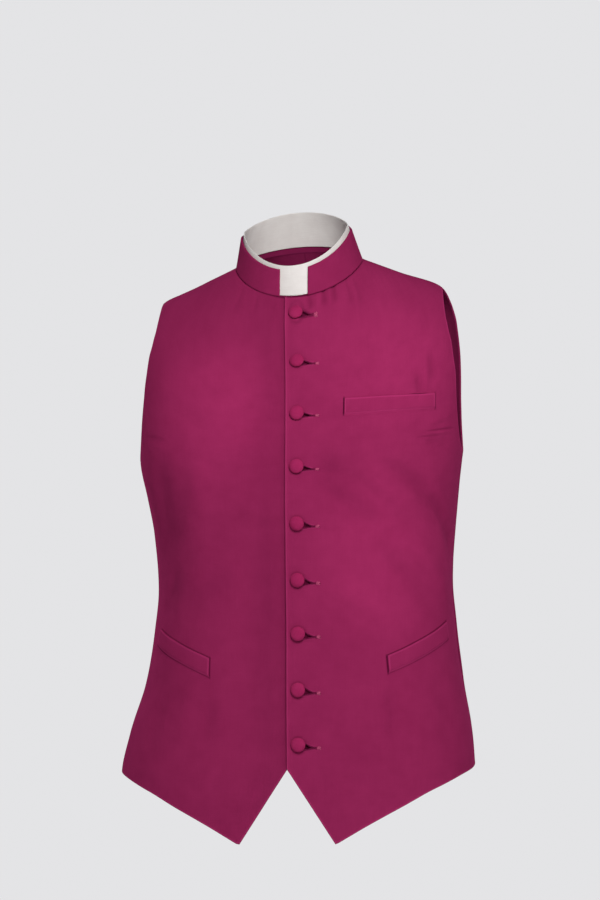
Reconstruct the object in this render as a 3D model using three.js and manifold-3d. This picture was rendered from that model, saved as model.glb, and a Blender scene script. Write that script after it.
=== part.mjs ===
// A clergy rabat of the waistcoat kind: two overlapping fronts, a two-piece back,
// a standing neckband with a square gap for the white collar, nine covered
// buttons in worked buttonholes, a chest welt pocket and two hip welt pockets.
// It keeps the hollow form that it has when worn.
//
// Millimetres, +Z up. The front looks along -Y and the wearer's left is +X.
// The origin is between the tops of the shoulders, at the base of the neck,
// where the wearer carries the garment.
import * as THREE from "three";
import { mergeVertices } from "three/addons/utils/BufferGeometryUtils.js";
import Module from "manifold-3d";

// ---------------------------------------------------------------- sizes
const CLOTH = 2.0; // front and back walls, with their interlining
const SEAM_GAP = 0.3; // between pieces that are sewn to each other
const OVERLAP_HALF = 13.3; // the front edge lies this far past the button line
const EASE_OUT = 19; // the under front comes back to the surface over this width

const NECKBAND = { thick: 2.2, lift: 0.35, gapWidth: 31.8, gapMidX: -5.5 };
const WHITE = { thick: 1.2, inset: 0.3, low: 0.05, high: 1.16 };

const HEM = {
  apexX: -6.3, // where the two cutaway edges cross
  apexZ: -567.4,
  leftPointX: 47.4,
  rightPointX: -60.4,
  backDip: 4,
  topOfZone: -500, // level rows end here and fan out to the hem below
};
// The hem of a front, from its point to the side seam, by share of the width.
const HEM_COLUMNS = ["share", "height"];
const FRONT_HEM = [
  [0, -650.8],
  [0.16, -631.0],
  [0.33, -612.6],
  [0.52, -594.6],
  [0.78, -581.0],
  [1, -577.6],
];

const BUTTON = { radius: 8.1, dome: 5.4, lift: 0.5, aboveHole: 3.6 };
const SHANK = { radius: 1.25, clear: 0.4 }; // it stops this far above the under front's gap
const BUTTONHOLE = { eyelet: 1.75, slit: 0.9, length: 23 };
const WELT = { thick: 1.4, lift: 0.45 };

// Level sections through the figure, from below the hem to the neck seam.
// side: height at the side seam, or on the ridge of the shoulder above the
// armhole. frontDrop and backRise tilt each section. power is its squareness.
// midX sways and roll tips the section, for the stance. closeX: button line.
const SECTION_COLUMNS = [
  "side", "halfWidth", "frontDepth", "backDepth", "midY",
  "frontDrop", "backRise", "power", "midX", "roll", "closeX",
];
const SECTIONS = [
  [-700, 208.0, 132.0, 122.0, 0.0, 0.0, 0.0, 2.35, -5.0, 0.020, 6.4],
  [-655, 207.0, 131.5, 121.0, 0.0, 0.0, 0.0, 2.35, -5.0, 0.020, 6.4],
  [-580, 203.5, 130.0, 118.0, 0.0, 0.0, 0.0, 2.35, -5.0, 0.020, 6.2],
  [-536, 196.0, 128.5, 113.0, 0.0, 0.0, 0.0, 2.35, -2.0, 0.022, 5.8],
  [-479, 182.0, 126.0, 104.0, 0.0, 0.0, 0.0, 2.35, 1.0, 0.025, 5.2],
  [-416, 172.5, 124.0, 97.0, 0.0, 0.0, 0.0, 2.35, 2.5, 0.029, 5.0],
  [-370, 168.5, 124.0, 94.0, 0.0, 0.0, 0.0, 2.35, 3.2, 0.032, 4.5],
  [-306, 173.0, 128.0, 98.0, 1.0, 3.0, 0.0, 2.35, 2.4, 0.037, 4.2],
  [-262, 178.5, 131.0, 104.0, 2.0, 10.0, 3.0, 2.35, 0.5, 0.041, 4.0],
  [-222, 184.5, 131.0, 109.0, 3.0, 18.0, 8.0, 2.35, -1.0, 0.045, 3.9],
  [-170, 188.0, 129.0, 111.0, 5.0, 32.0, 15.0, 2.35, -1.0, 0.050, 3.8],
  [-120, 190.0, 123.0, 107.0, 6.0, 45.0, 22.0, 2.3, 0.0, 0.053, 3.3],
  [-85, 187.0, 115.0, 99.0, 7.0, 52.0, 25.0, 2.25, 0.0, 0.055, 2.5],
  [-37, 161.0, 96.0, 81.0, 8.0, 60.0, 22.0, 2.15, -1.0, 0.055, 0.0],
  [-18.5, 117.0, 82.5, 74.5, 6.5, 51.5, 19.0, 2.05, -2.5, 0.055, -1.5],
  [0, 73.0, 67.0, 67.0, 5.0, 41.5, 18.0, 2.0, -4.5, 0.055, -2.4],
];

// The armhole edge: at each section height, the angle round the body from the
// centre front at which the front ends, and from the centre back for the back.
const UNDERARM = -222;
const SHOULDER_TIP = -37;
const ARMHOLE_COLUMNS = ["side", "frontAngle", "backAngle"];
const ARMHOLE = [
  [-222, 90, 90],
  [-218.5, 84, 84.5],
  [-211, 79.3, 80.5],
  [-199, 75.3, 77],
  [-180, 72.0, 74],
  [-155, 69.3, 71.5],
  [-125, 67.2, 69.6],
  [-97, 66, 69],
  [-74, 66.2, 69.4],
  [-57, 69.3, 72.5],
  [-47, 74.6, 77.2],
  [-40.5, 81.5, 82.8],
  [-37, 90, 90],
];

// The neckband and the white collar, at the neck seam and at the top edge.
const NECK_COLUMNS = [
  "up", "halfWidth", "frontDepth", "backDepth", "midY",
  "frontDrop", "backRise", "midX", "roll",
];
const NECK = [
  [0, 73.0, 67.0, 67.0, 5.0, 41.5, 18.0, -4.5, 0.055],
  [36, 63.6, 62.5, 60.5, 4.0, 46.5, 22.0, -8.0, 0.06],
];

// Buttons on the closing line: x and height of each dome's middle.
const BUTTON_ROWS = [
  { x: -2.1, z: -59.6 },
  { x: 1.6, z: -114.9 },
  { x: 3.4, z: -173.4 },
  { x: 3.8, z: -232.3 },
  { x: 4.2, z: -295.4 },
  { x: 4.5, z: -358.2 },
  { x: 5.0, z: -417.6 },
  { x: 5.3, z: -479.5 },
  { x: 5.8, z: -539.9 },
];

// Welts. The chest welt is given in the front view. A hip welt is given by x and
// section height at the two ends of its top edge, its height at both ends, and
// how far its lower corners lie towards the side seam from the upper ones.
const CHEST_WELT = {
  innerX: 55.8, outerX: 154.4,
  innerTop: -157.2, outerTop: -150.8, innerLow: -175.2, outerLow: -168.2,
};
const HIP_WELTS = [
  {
    name: "hip_welt_left",
    inner: { x: 102.9, top: -444.9, height: 19.4, lean: 2 },
    outer: { x: 166.1, top: -412.1, height: 20.0, lean: 4.5 },
  },
  {
    name: "hip_welt_right",
    inner: { x: -94.7, top: -443.5, height: 21.2, lean: 0.5 },
    outer: { x: -155.1, top: -412.8, height: 19.0, lean: 8 },
  },
];

// Rows of the panels, by section height.
const BODY_ROWS = [-460, -420, -380, -340, -300, -260];
const SHOULDER_ROWS = [-26, -13, 0];
const LOWER_STEPS = 3;

// ---------------------------------------------------------------- tools
const COLOURS = { cloth: 0x8c1f55, white: 0xf1efec };
const clothMaterial = () =>
  new THREE.MeshStandardMaterial({ color: COLOURS.cloth, roughness: 0.78, metalness: 0 });
const whiteMaterial = () =>
  new THREE.MeshStandardMaterial({ color: COLOURS.white, roughness: 0.5, metalness: 0 });

const rad = THREE.MathUtils.degToRad;
const V = (x, y, z) => new THREE.Vector3(x, y, z);
const smooth = (t) => {
  const c = THREE.MathUtils.clamp(t, 0, 1);
  return c * c * (3 - 2 * c);
};

// Monotone cubic through the rows of a table, for one column.
function tableColumn(rows, column) {
  const x = rows.map((r) => r[0]);
  const y = rows.map((r) => r[column]);
  const n = x.length;
  const h = [], d = [], m = new Array(n).fill(0);
  for (let i = 0; i < n - 1; i++) {
    h.push(x[i + 1] - x[i]);
    d.push((y[i + 1] - y[i]) / h[i]);
  }
  for (let i = 1; i < n - 1; i++)
    if (d[i - 1] * d[i] > 0) {
      const w1 = 2 * h[i] + h[i - 1], w2 = h[i] + 2 * h[i - 1];
      m[i] = (w1 + w2) / (w1 / d[i - 1] + w2 / d[i]);
    }
  m[0] = d[0];
  m[n - 1] = d[n - 2];
  return (at) => {
    let i = 0;
    while (i < n - 2 && at > x[i + 1]) i++;
    const t = (at - x[i]) / h[i];
    return (
      (1 + 2 * t) * (1 - t) ** 2 * y[i] + t * (1 - t) ** 2 * h[i] * m[i] +
      t * t * (3 - 2 * t) * y[i + 1] + t * t * (t - 1) * h[i] * m[i + 1]
    );
  };
}
function tableOf(columns, rows) {
  const by = {};
  columns.forEach((name, k) => {
    if (k) by[name] = tableColumn(rows, k);
  });
  return by;
}
const section = tableOf(SECTION_COLUMNS, SECTIONS);
const armhole = tableOf(ARMHOLE_COLUMNS, ARMHOLE);
const frontHem = tableOf(HEM_COLUMNS, FRONT_HEM);
const POINT_Z = FRONT_HEM[0][1];
const SIDE_HEM_Z = FRONT_HEM[FRONT_HEM.length - 1][1];
const PANEL_ROWS = [HEM.topOfZone, ...BODY_ROWS, ...ARMHOLE.map((r) => r[0]), ...SHOULDER_ROWS];

// A point of the figure's surface. angle is in degrees from the centre front,
// towards the wearer's left.
function body(side, angle) {
  const s = Math.sin(rad(angle)), c = Math.cos(rad(angle));
  const e = 2 / section.power(side);
  const across = Math.sign(s) * Math.abs(s) ** e;
  const along = Math.abs(c) ** e;
  const front = c >= 0;
  const x = section.midX(side) + section.halfWidth(side) * across;
  const y = section.midY(side) + (front ? -section.frontDepth(side) : section.backDepth(side)) * along;
  const tilt = along ** 1.3;
  const z = side + (front ? -section.frontDrop(side) : section.backRise(side)) * tilt;
  return V(x, y, z + section.roll(side) * x);
}
function normalOf(surface, a, b, da, db) {
  const u = surface(a, b + db).sub(surface(a, b - db));
  const w = surface(a + da, b).sub(surface(a - da, b));
  return u.cross(w).normalize();
}
const bodyNormal = (side, angle) => normalOf(body, Math.min(side, -0.6), angle, 0.5, 0.8);

// Length along a section, from the button line on the front and from the
// centre back on the back.
const arcs = new Map();
function arcOf(side, back) {
  const key = (back ? "b" : "f") + side.toFixed(4);
  if (arcs.has(key)) return arcs.get(key);
  const steps = 180, angles = [], lengths = [0];
  for (let i = 0; i <= steps; i++) angles.push((back ? 90 : -90) + i * (180 / steps));
  let last = body(side, angles[0]);
  for (let i = 1; i <= steps; i++) {
    const p = body(side, angles[i]);
    lengths.push(lengths[i - 1] + p.distanceTo(last));
    last = p;
  }
  const lookup = (xs, ys, at) => {
    let i = 0;
    while (i < xs.length - 2 && at > xs[i + 1]) i++;
    return ys[i] + ((at - xs[i]) / (xs[i + 1] - xs[i])) * (ys[i + 1] - ys[i]);
  };
  const zeroAngle = back ? 180 : angleAtX(side, section.closeX(side));
  const zero = lookup(angles, lengths, zeroAngle);
  const arc = {
    toAngle: (s) => lookup(lengths, angles, s + zero),
    toLength: (angle) => lookup(angles, lengths, angle) - zero,
  };
  arcs.set(key, arc);
  return arc;
}
function angleAtX(side, x) {
  const t = THREE.MathUtils.clamp((x - section.midX(side)) / section.halfWidth(side), -1, 1);
  const s = Math.sign(t) * Math.abs(t) ** (section.power(side) / 2);
  return THREE.MathUtils.radToDeg(Math.asin(s));
}
// The section height and angle of the front-view point (x, z).
function onFront(x, z) {
  let side = z;
  for (let i = 0; i < 40; i++) {
    const p = body(side, angleAtX(side, x));
    side = THREE.MathUtils.clamp(side - (p.z - z) * 0.7, -690, 0);
  }
  return { side, angle: angleAtX(side, x) };
}

// A closed wall from rows of {outer, inner} points. Rows run up, columns run
// anticlockwise seen from above. round joins the last column to the first.
function wall(rows, round = false) {
  const cols = rows[0].length, verts = [], tris = [];
  const at = (i, j, inner) => 2 * (i * cols + (j % cols)) + (inner ? 1 : 0);
  rows.forEach((row) => row.forEach((p) => verts.push(p.outer, p.inner)));
  const quad = (a, b, c, d) => tris.push(a, b, c, a, c, d);
  const last = round ? cols : cols - 1;
  for (let i = 0; i < rows.length - 1; i++)
    for (let j = 0; j < last; j++) {
      quad(at(i, j), at(i, j + 1), at(i + 1, j + 1), at(i + 1, j));
      quad(at(i, j, 1), at(i + 1, j, 1), at(i + 1, j + 1, 1), at(i, j + 1, 1));
    }
  const top = rows.length - 1;
  for (let j = 0; j < last; j++) {
    quad(at(0, j + 1), at(0, j), at(0, j, 1), at(0, j + 1, 1));
    quad(at(top, j), at(top, j + 1), at(top, j + 1, 1), at(top, j, 1));
  }
  if (!round)
    for (let i = 0; i < top; i++) {
      quad(at(i, 0), at(i + 1, 0), at(i + 1, 0, 1), at(i, 0, 1));
      quad(at(i + 1, cols - 1), at(i, cols - 1), at(i, cols - 1, 1), at(i + 1, cols - 1, 1));
    }
  const g = new THREE.BufferGeometry();
  g.setAttribute("position", new THREE.Float32BufferAttribute(verts.flatMap((p) => [p.x, p.y, p.z]), 3));
  g.setIndex(tris);
  g.computeVertexNormals();
  return g;
}
const layer = (p, n, outside, thick) => ({
  outer: p.clone().addScaledVector(n, outside),
  inner: p.clone().addScaledVector(n, outside - thick),
});

// ---------------------------------------------------------------- panels
// Columns of a front: fixed lengths beside the closing, then shares of what is
// left to the side seam or armhole. sign is +1 for the wearer's left.
const CLOSING_STEPS = [-1, -0.5, 0, 0.5, 1].map((k) => k * OVERLAP_HALF);
function frontColumns(sign) {
  const pointX = sign > 0 ? HEM.leftPointX : HEM.rightPointX;
  const arc = arcOf(POINT_Z, false);
  const start = sign > 0 ? OVERLAP_HALF : OVERLAP_HALF + EASE_OUT;
  const sPoint = Math.abs(arc.toLength(angleAtX(POINT_Z, pointX)));
  const sSide = Math.abs(arc.toLength(sign * 90));
  const share = (sPoint - start) / (sSide - start);
  const cols = [];
  CLOSING_STEPS.forEach((s) => cols.push({ fixed: s }));
  if (sign < 0) [0.5, 1].forEach((k) => cols.push({ fixed: OVERLAP_HALF + k * EASE_OUT }));
  const before = sign > 0 ? 2 : 1, after = 8;
  for (let k = 1; k <= before; k++) cols.push({ share: (share * k) / before });
  for (let k = 1; k <= after; k++) cols.push({ share: share + ((1 - share) * k) / after });
  return { cols, start, share };
}
function frontPanel(sign) {
  const { cols, start, share } = frontColumns(sign);
  const edgeAngle = (side) =>
    sign * (side > UNDERARM && side < SHOULDER_TIP ? armhole.frontAngle(side) : 90);
  const lengthAt = (col, side) => {
    const reach = Math.abs(arcOf(side, false).toLength(edgeAngle(side)));
    return col.fixed !== undefined ? col.fixed : start + col.share * (reach - start);
  };
  const hemZ = (col) => {
    const s = lengthAt(col, POINT_Z);
    const pointX = sign > 0 ? HEM.leftPointX : HEM.rightPointX;
    if (col.fixed !== undefined || col.share <= share + 1e-9) {
      const x = body(POINT_Z, arcOf(POINT_Z, false).toAngle(sign * s)).x;
      const t = (x - HEM.apexX) / (pointX - HEM.apexX);
      return HEM.apexZ + t * (POINT_Z - HEM.apexZ);
    }
    return frontHem.height((col.share - share) / (1 - share));
  };
  // The under front lies one wall below the top front where they overlap.
  const sunk = (col, side) => {
    if (sign > 0) return 0;
    const s = lengthAt(col, side);
    return -(CLOTH + SEAM_GAP) * (1 - smooth((s - OVERLAP_HALF) / EASE_OUT));
  };
  const make = (col, side, edge) => {
    const arc = arcOf(side, false);
    const s = lengthAt(col, side);
    const angle = edge && Math.abs(edgeAngle(side)) > 89.99 ? edgeAngle(side) : arc.toAngle(sign * s);
    const p = body(side, angle);
    const n = bodyNormal(side, angle);
    if (edge && Math.abs(angle) > 89.99) {
      const step = body(side, angle - sign * 0.8).sub(body(side, angle + sign * 0.8)).normalize();
      p.addScaledVector(step, SEAM_GAP / 2);
    }
    return layer(p, n, sunk(col, side), CLOTH);
  };
  const ordered = sign > 0 ? cols : cols.slice().reverse();
  const isEdge = (col) => col.share !== undefined && col.share > 1 - 1e-9;
  const rows = [];
  for (let w = LOWER_STEPS; w >= 1; w--)
    rows.push(ordered.map((col) => {
      const z = HEM.topOfZone + (hemZ(col) - HEM.topOfZone) * (w / LOWER_STEPS);
      return make(col, z, isEdge(col));
    }));
  for (const side of PANEL_ROWS)
    rows.push(ordered.map((col) => make(col, side, isEdge(col))));
  return wall(rows);
}
// Half of the back, from the side seam and armhole to the centre back seam.
function backPanel(sign) {
  const count = 10;
  const make = (k, side) => {
    const arc = arcOf(side, true);
    const half = side > UNDERARM && side < SHOULDER_TIP ? armhole.backAngle(side) : 90;
    const reach = arc.toLength(180 - sign * half);
    const atSide = k === 0 && half > 89.99, atCentre = k === count;
    const angle = atSide ? 180 - sign * 90 : arc.toAngle(reach * (1 - k / count));
    const p = body(side, angle);
    const n = bodyNormal(side, angle);
    if (atSide || atCentre) {
      const inward = atSide ? sign : -sign;
      const step = body(side, angle + inward * 0.8).sub(body(side, angle - inward * 0.8)).normalize();
      p.addScaledVector(step, SEAM_GAP / 2);
    }
    return layer(p, n, 0, CLOTH);
  };
  const rows = [];
  const across = Array.from({ length: count + 1 }, (_, k) => (sign > 0 ? k : count - k));
  for (let w = LOWER_STEPS; w >= 1; w--)
    rows.push(across.map((k) => {
      const hem = SIDE_HEM_Z - HEM.backDip * Math.sin((Math.PI * k) / (2 * count)) ** 2;
      return make(k, HEM.topOfZone + (hem - HEM.topOfZone) * (w / LOWER_STEPS));
    }));
  for (const side of PANEL_ROWS)
    rows.push(across.map((k) => make(k, side)));
  return wall(rows);
}

// ---------------------------------------------------------------- neckband
const neckValue = (up, name) => {
  const k = NECK_COLUMNS.indexOf(name);
  return NECK[0][k] + (NECK[1][k] - NECK[0][k]) * up;
};
// up runs from 0 at the neck seam to 1 at the band's top edge.
function neck(up, angle) {
  const s = Math.sin(rad(angle)), c = Math.cos(rad(angle)), front = c >= 0;
  const along = Math.abs(c);
  const rise = neckValue(up, "up") + NECKBAND.lift;
  const x = neckValue(up, "midX") + neckValue(up, "halfWidth") * s;
  const y = neckValue(up, "midY") + (front ? -neckValue(up, "frontDepth") : neckValue(up, "backDepth")) * along;
  const z = rise + (front ? -neckValue(up, "frontDrop") : neckValue(up, "backRise")) * along ** 1.3;
  return V(x, y, z + neckValue(up, "roll") * x);
}
const neckNormal = (up, angle) => normalOf(neck, up, angle, 0.05, 1);
// Both rings have their corners at the same angles, so they nest.
const RING_STEPS = 40;
function neckband() {
  const rows = [];
  for (const up of [0, 0.5, 1]) {
    const ends = [1, -1].map((k) => {
      const x = NECKBAND.gapMidX + (k * NECKBAND.gapWidth) / 2;
      const t = (x - neckValue(up, "midX")) / neckValue(up, "halfWidth");
      return THREE.MathUtils.radToDeg(Math.asin(t));
    });
    const angles = [ends[0]];
    for (let k = 2; k <= RING_STEPS - 2; k++) angles.push((360 * k) / RING_STEPS);
    angles.push(360 + ends[1]);
    rows.push(angles.map((a) => layer(neck(up, a), neckNormal(up, a), 0, NECKBAND.thick)));
  }
  return wall(rows);
}
function whiteCollar() {
  const rows = [], levels = 3;
  const outside = -(NECKBAND.thick + WHITE.inset);
  for (let i = 0; i < levels; i++) {
    const up = WHITE.low + ((WHITE.high - WHITE.low) * i) / (levels - 1);
    const row = [];
    for (let k = 0; k < RING_STEPS; k++) {
      const angle = (360 * k) / RING_STEPS;
      row.push(layer(neck(up, angle), neckNormal(up, angle), outside, WHITE.thick));
    }
    rows.push(row);
  }
  return wall(rows, true);
}

// ---------------------------------------------------------------- welts
function weltGrid(across, down, pointAt) {
  const rows = [];
  for (let i = 0; i <= down; i++) {
    const row = [];
    for (let k = 0; k <= across; k++) {
      const { side, angle } = pointAt(k / across, i / down);
      const n = bodyNormal(side, angle);
      row.push(layer(body(side, angle), n, WELT.lift + WELT.thick, WELT.thick));
    }
    rows.push(row);
  }
  return wall(rows);
}
function chestWelt() {
  const w = CHEST_WELT, mix = THREE.MathUtils.lerp;
  return weltGrid(10, 2, (u, t) =>
    onFront(mix(w.innerX, w.outerX, u), mix(mix(w.innerLow, w.outerLow, u), mix(w.innerTop, w.outerTop, u), t)),
  );
}
function hipWelt({ inner, outer }) {
  const mix = THREE.MathUtils.lerp, sign = Math.sign(outer.x);
  const lengthAt = (end) => arcOf(end.top, false).toLength(angleAtX(end.top, end.x));
  const from = lengthAt(inner), to = lengthAt(outer);
  return weltGrid(10, 2, (u, t) => {
    const k = sign > 0 ? u : 1 - u; // 0 at the inner end, 1 at the outer end
    const drop = (1 - t) * mix(inner.height, outer.height, k);
    const side = mix(inner.top, outer.top, k) - drop;
    const lean = sign * (1 - t) * mix(inner.lean, outer.lean, k);
    return { side, angle: arcOf(side, false).toAngle(mix(from, to, k) + lean) };
  });
}

// ---------------------------------------------------------------- closing
const wasm = await Module();
wasm.setup();
function solid(geometry) {
  const g = geometry.index ? geometry.toNonIndexed() : geometry.clone();
  g.deleteAttribute("normal");
  g.deleteAttribute("uv");
  const m = mergeVertices(g, 1e-4);
  return new wasm.Manifold(
    new wasm.Mesh({
      numProp: 3,
      vertProperties: new Float32Array(m.attributes.position.array),
      triVerts: new Uint32Array(m.index.array),
    }),
  );
}
function geometryOf(manifold) {
  const m = manifold.getMesh(), g = new THREE.BufferGeometry();
  const p = new Float32Array(m.numVert * 3);
  for (let i = 0; i < m.numVert; i++)
    p.set(m.vertProperties.subarray(i * m.numProp, i * m.numProp + 3), i * 3);
  g.setAttribute("position", new THREE.BufferAttribute(p, 3));
  g.setIndex(new THREE.BufferAttribute(new Uint32Array(m.triVerts), 1));
  g.computeVertexNormals();
  return g;
}
// A frame on the front: x along the buttonhole, y up, z out of the cloth.
function frontFrame(x, z) {
  const { side, angle } = onFront(x, z);
  const out = bodyNormal(side, angle);
  const p = body(side, angle);
  const along = V(1, 0, 0).addScaledVector(out, -out.x).normalize();
  const up = out.clone().cross(along);
  return new THREE.Matrix4().makeBasis(along, up, out).setPosition(p);
}
function buttonholeCutter(row) {
  const shape = new THREE.Shape();
  const r = BUTTONHOLE.eyelet, half = BUTTONHOLE.slit / 2;
  const bite = Math.asin(half / r), steps = 7;
  for (let i = 0; i <= steps; i++) {
    const a = bite + ((2 * Math.PI - 2 * bite) * i) / steps;
    const q = [r * Math.cos(a), r * Math.sin(a)];
    i ? shape.lineTo(...q) : shape.moveTo(...q);
  }
  shape.lineTo(BUTTONHOLE.length, -half);
  shape.lineTo(BUTTONHOLE.length, half);
  shape.closePath();
  const g = new THREE.ExtrudeGeometry(shape, { depth: 10, bevelEnabled: false });
  g.translate(0, 0, -6);
  g.applyMatrix4(frontFrame(row.x, row.z - BUTTON.aboveHole));
  return solid(g);
}
function button(row) {
  const R = BUTTON.radius, H = BUTTON.dome, base = BUTTON.lift;
  const profile = [[0, base], [R * 0.78, base], [R * 0.95, base + 0.5]];
  const steps = 4;
  for (let i = 0; i <= steps; i++) {
    const a = (Math.PI / 2) * (i / steps);
    profile.push([i === steps ? 0 : R * Math.cos(a) ** 0.9, base + 1.2 + (H - 1.2) * Math.sin(a)]);
  }
  const dome = new THREE.LatheGeometry(profile.map(([r, h]) => new THREE.Vector2(r, h)), 14);
  dome.rotateX(Math.PI / 2);
  dome.translate(0, BUTTON.aboveHole, 0);
  const length = CLOTH - SHANK.clear + base + 0.8;
  const stem = new THREE.CylinderGeometry(SHANK.radius, SHANK.radius, length, 7);
  stem.rotateX(Math.PI / 2);
  stem.translate(0, 0, SHANK.clear - CLOTH + length / 2);
  const whole = solid(dome).add(solid(stem));
  const g = geometryOf(whole);
  g.applyMatrix4(frontFrame(row.x, row.z - BUTTON.aboveHole));
  return g;
}

// ---------------------------------------------------------------- the rabat
const rabat = new THREE.Group();
function add(name, geometry, material) {
  const mesh = new THREE.Mesh(geometry, material);
  mesh.name = name;
  rabat.add(mesh);
}
let leftFront = solid(frontPanel(1));
for (const row of BUTTON_ROWS) leftFront = leftFront.subtract(buttonholeCutter(row));
add("front_left", geometryOf(leftFront), clothMaterial());
add("front_right", frontPanel(-1), clothMaterial());
add("back_left", backPanel(1), clothMaterial());
add("back_right", backPanel(-1), clothMaterial());
add("neckband", neckband(), clothMaterial());
add("white_collar", whiteCollar(), whiteMaterial());
add("chest_welt", chestWelt(), clothMaterial());
for (const w of HIP_WELTS) add(w.name, hipWelt(w), clothMaterial());
BUTTON_ROWS.forEach((row, i) => add("button_" + (i + 1), button(row), clothMaterial()));

export default rabat;
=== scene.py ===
"""Looks of the clergy rabat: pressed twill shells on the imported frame, a white
collar, covered buttons in worked buttonholes and three welts.

Sizes are in millimetres until a mesh is made, and repeat the frame's own.
s is the length along a level section of the body from the button line (from the
centre back on the back), towards the wearer's left. v is the section's height.
"""
import math
import bpy
import numpy as np
from mathutils import Matrix, Vector
from mathutils.kdtree import KDTree


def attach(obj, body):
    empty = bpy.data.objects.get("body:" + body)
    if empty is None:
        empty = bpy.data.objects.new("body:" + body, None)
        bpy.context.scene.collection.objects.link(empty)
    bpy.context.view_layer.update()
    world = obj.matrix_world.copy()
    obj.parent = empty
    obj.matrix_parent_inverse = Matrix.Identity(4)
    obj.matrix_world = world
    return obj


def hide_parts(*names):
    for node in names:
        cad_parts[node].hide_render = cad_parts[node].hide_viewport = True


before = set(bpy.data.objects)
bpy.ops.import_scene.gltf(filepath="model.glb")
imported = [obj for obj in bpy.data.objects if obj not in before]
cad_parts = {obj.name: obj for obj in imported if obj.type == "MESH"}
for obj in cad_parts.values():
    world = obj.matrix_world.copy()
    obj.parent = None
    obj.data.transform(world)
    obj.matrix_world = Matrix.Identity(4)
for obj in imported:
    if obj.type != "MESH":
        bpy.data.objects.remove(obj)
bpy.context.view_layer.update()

MM = 0.001

# ------------------------------------------------------------------ sizes
CLOTH = 2.0
SEAM_GAP = 0.3
OVERLAP_HALF = 13.3
EASE_OUT = 19.0
NECKBAND = dict(thick=2.2, lift=0.35, gapWidth=31.8, gapMidX=-5.5)
WHITE = dict(thick=1.2, inset=0.3, low=0.05, high=1.16)
HEM = dict(apexX=-6.3, apexV=-567.4, leftPointX=47.4, rightPointX=-60.4, backDip=4.0, topOfZone=-553.0)
BUTTON = dict(radius=8.1, dome=5.4, lift=0.5, aboveHole=3.6)
SHANK = dict(radius=1.25, clear=0.4)
WELT = dict(thick=1.4, lift=0.45)
EDGE_ROUND = 0.95  # free edges are folded over, this round

SECTION_COLUMNS = (
    "side", "halfWidth", "frontDepth", "backDepth", "midY",
    "frontDrop", "backRise", "power", "midX", "roll", "closeX",
)
SECTIONS = (
    (-700, 208.0, 132.0, 122.0, 0.0, 0.0, 0.0, 2.35, -5.0, 0.020, 6.4),
    (-655, 207.0, 131.5, 121.0, 0.0, 0.0, 0.0, 2.35, -5.0, 0.020, 6.4),
    (-580, 203.5, 130.0, 118.0, 0.0, 0.0, 0.0, 2.35, -5.0, 0.020, 6.2),
    (-536, 196.0, 128.5, 113.0, 0.0, 0.0, 0.0, 2.35, -2.0, 0.022, 5.8),
    (-479, 182.0, 126.0, 104.0, 0.0, 0.0, 0.0, 2.35, 1.0, 0.025, 5.2),
    (-416, 172.5, 124.0, 97.0, 0.0, 0.0, 0.0, 2.35, 2.5, 0.029, 5.0),
    (-370, 168.5, 124.0, 94.0, 0.0, 0.0, 0.0, 2.35, 3.2, 0.032, 4.5),
    (-306, 173.0, 128.0, 98.0, 1.0, 3.0, 0.0, 2.35, 2.4, 0.037, 4.2),
    (-262, 178.5, 131.0, 104.0, 2.0, 10.0, 3.0, 2.35, 0.5, 0.041, 4.0),
    (-222, 184.5, 131.0, 109.0, 3.0, 18.0, 8.0, 2.35, -1.0, 0.045, 3.9),
    (-170, 188.0, 129.0, 111.0, 5.0, 32.0, 15.0, 2.35, -1.0, 0.050, 3.8),
    (-120, 190.0, 123.0, 107.0, 6.0, 45.0, 22.0, 2.3, 0.0, 0.053, 3.3),
    (-85, 187.0, 115.0, 99.0, 7.0, 52.0, 25.0, 2.25, 0.0, 0.055, 2.5),
    (-37, 161.0, 96.0, 81.0, 8.0, 60.0, 22.0, 2.15, -1.0, 0.055, 0.0),
    (-18.5, 117.0, 82.5, 74.5, 6.5, 51.5, 19.0, 2.05, -2.5, 0.055, -1.5),
    (0, 73.0, 67.0, 67.0, 5.0, 41.5, 18.0, 2.0, -4.5, 0.055, -2.4),
)
UNDERARM, SHOULDER_TIP = -222.0, -37.0
ARMHOLE_COLUMNS = ("side", "frontAngle", "backAngle")
ARMHOLE = (
    (-222, 90, 90), (-218.5, 84, 84.5), (-211, 79.3, 80.5), (-199, 75.3, 77),
    (-180, 72.0, 74), (-155, 69.3, 71.5), (-125, 67.2, 69.6), (-97, 66, 69),
    (-74, 66.2, 69.4), (-57, 69.3, 72.5), (-47, 74.6, 77.2), (-40.5, 81.5, 82.8),
    (-37, 90, 90),
)
HEM_COLUMNS = ("share", "height")
FRONT_HEM = (
    (0, -650.8), (0.16, -631.0), (0.33, -612.6), (0.52, -594.6), (0.78, -581.0), (1, -577.6),
)
NECK_COLUMNS = (
    "up", "halfWidth", "frontDepth", "backDepth", "midY",
    "frontDrop", "backRise", "midX", "roll",
)
NECK = (
    (0, 73.0, 67.0, 67.0, 5.0, 41.5, 18.0, -4.5, 0.055),
    (36, 63.6, 62.5, 60.5, 4.0, 46.5, 22.0, -8.0, 0.06),
)
BUTTON_ROWS = (  # x, z of each dome's middle
    (-2.1, -59.6), (1.6, -114.9), (3.4, -173.4), (3.8, -232.3), (4.2, -295.4),
    (4.5, -358.2), (5.0, -417.6), (5.3, -479.5), (5.8, -539.9),
)
CHEST_WELT = dict(
    innerX=55.8, outerX=154.4,
    innerTop=-157.2, outerTop=-150.8, innerLow=-175.2, outerLow=-168.2,
)
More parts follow.
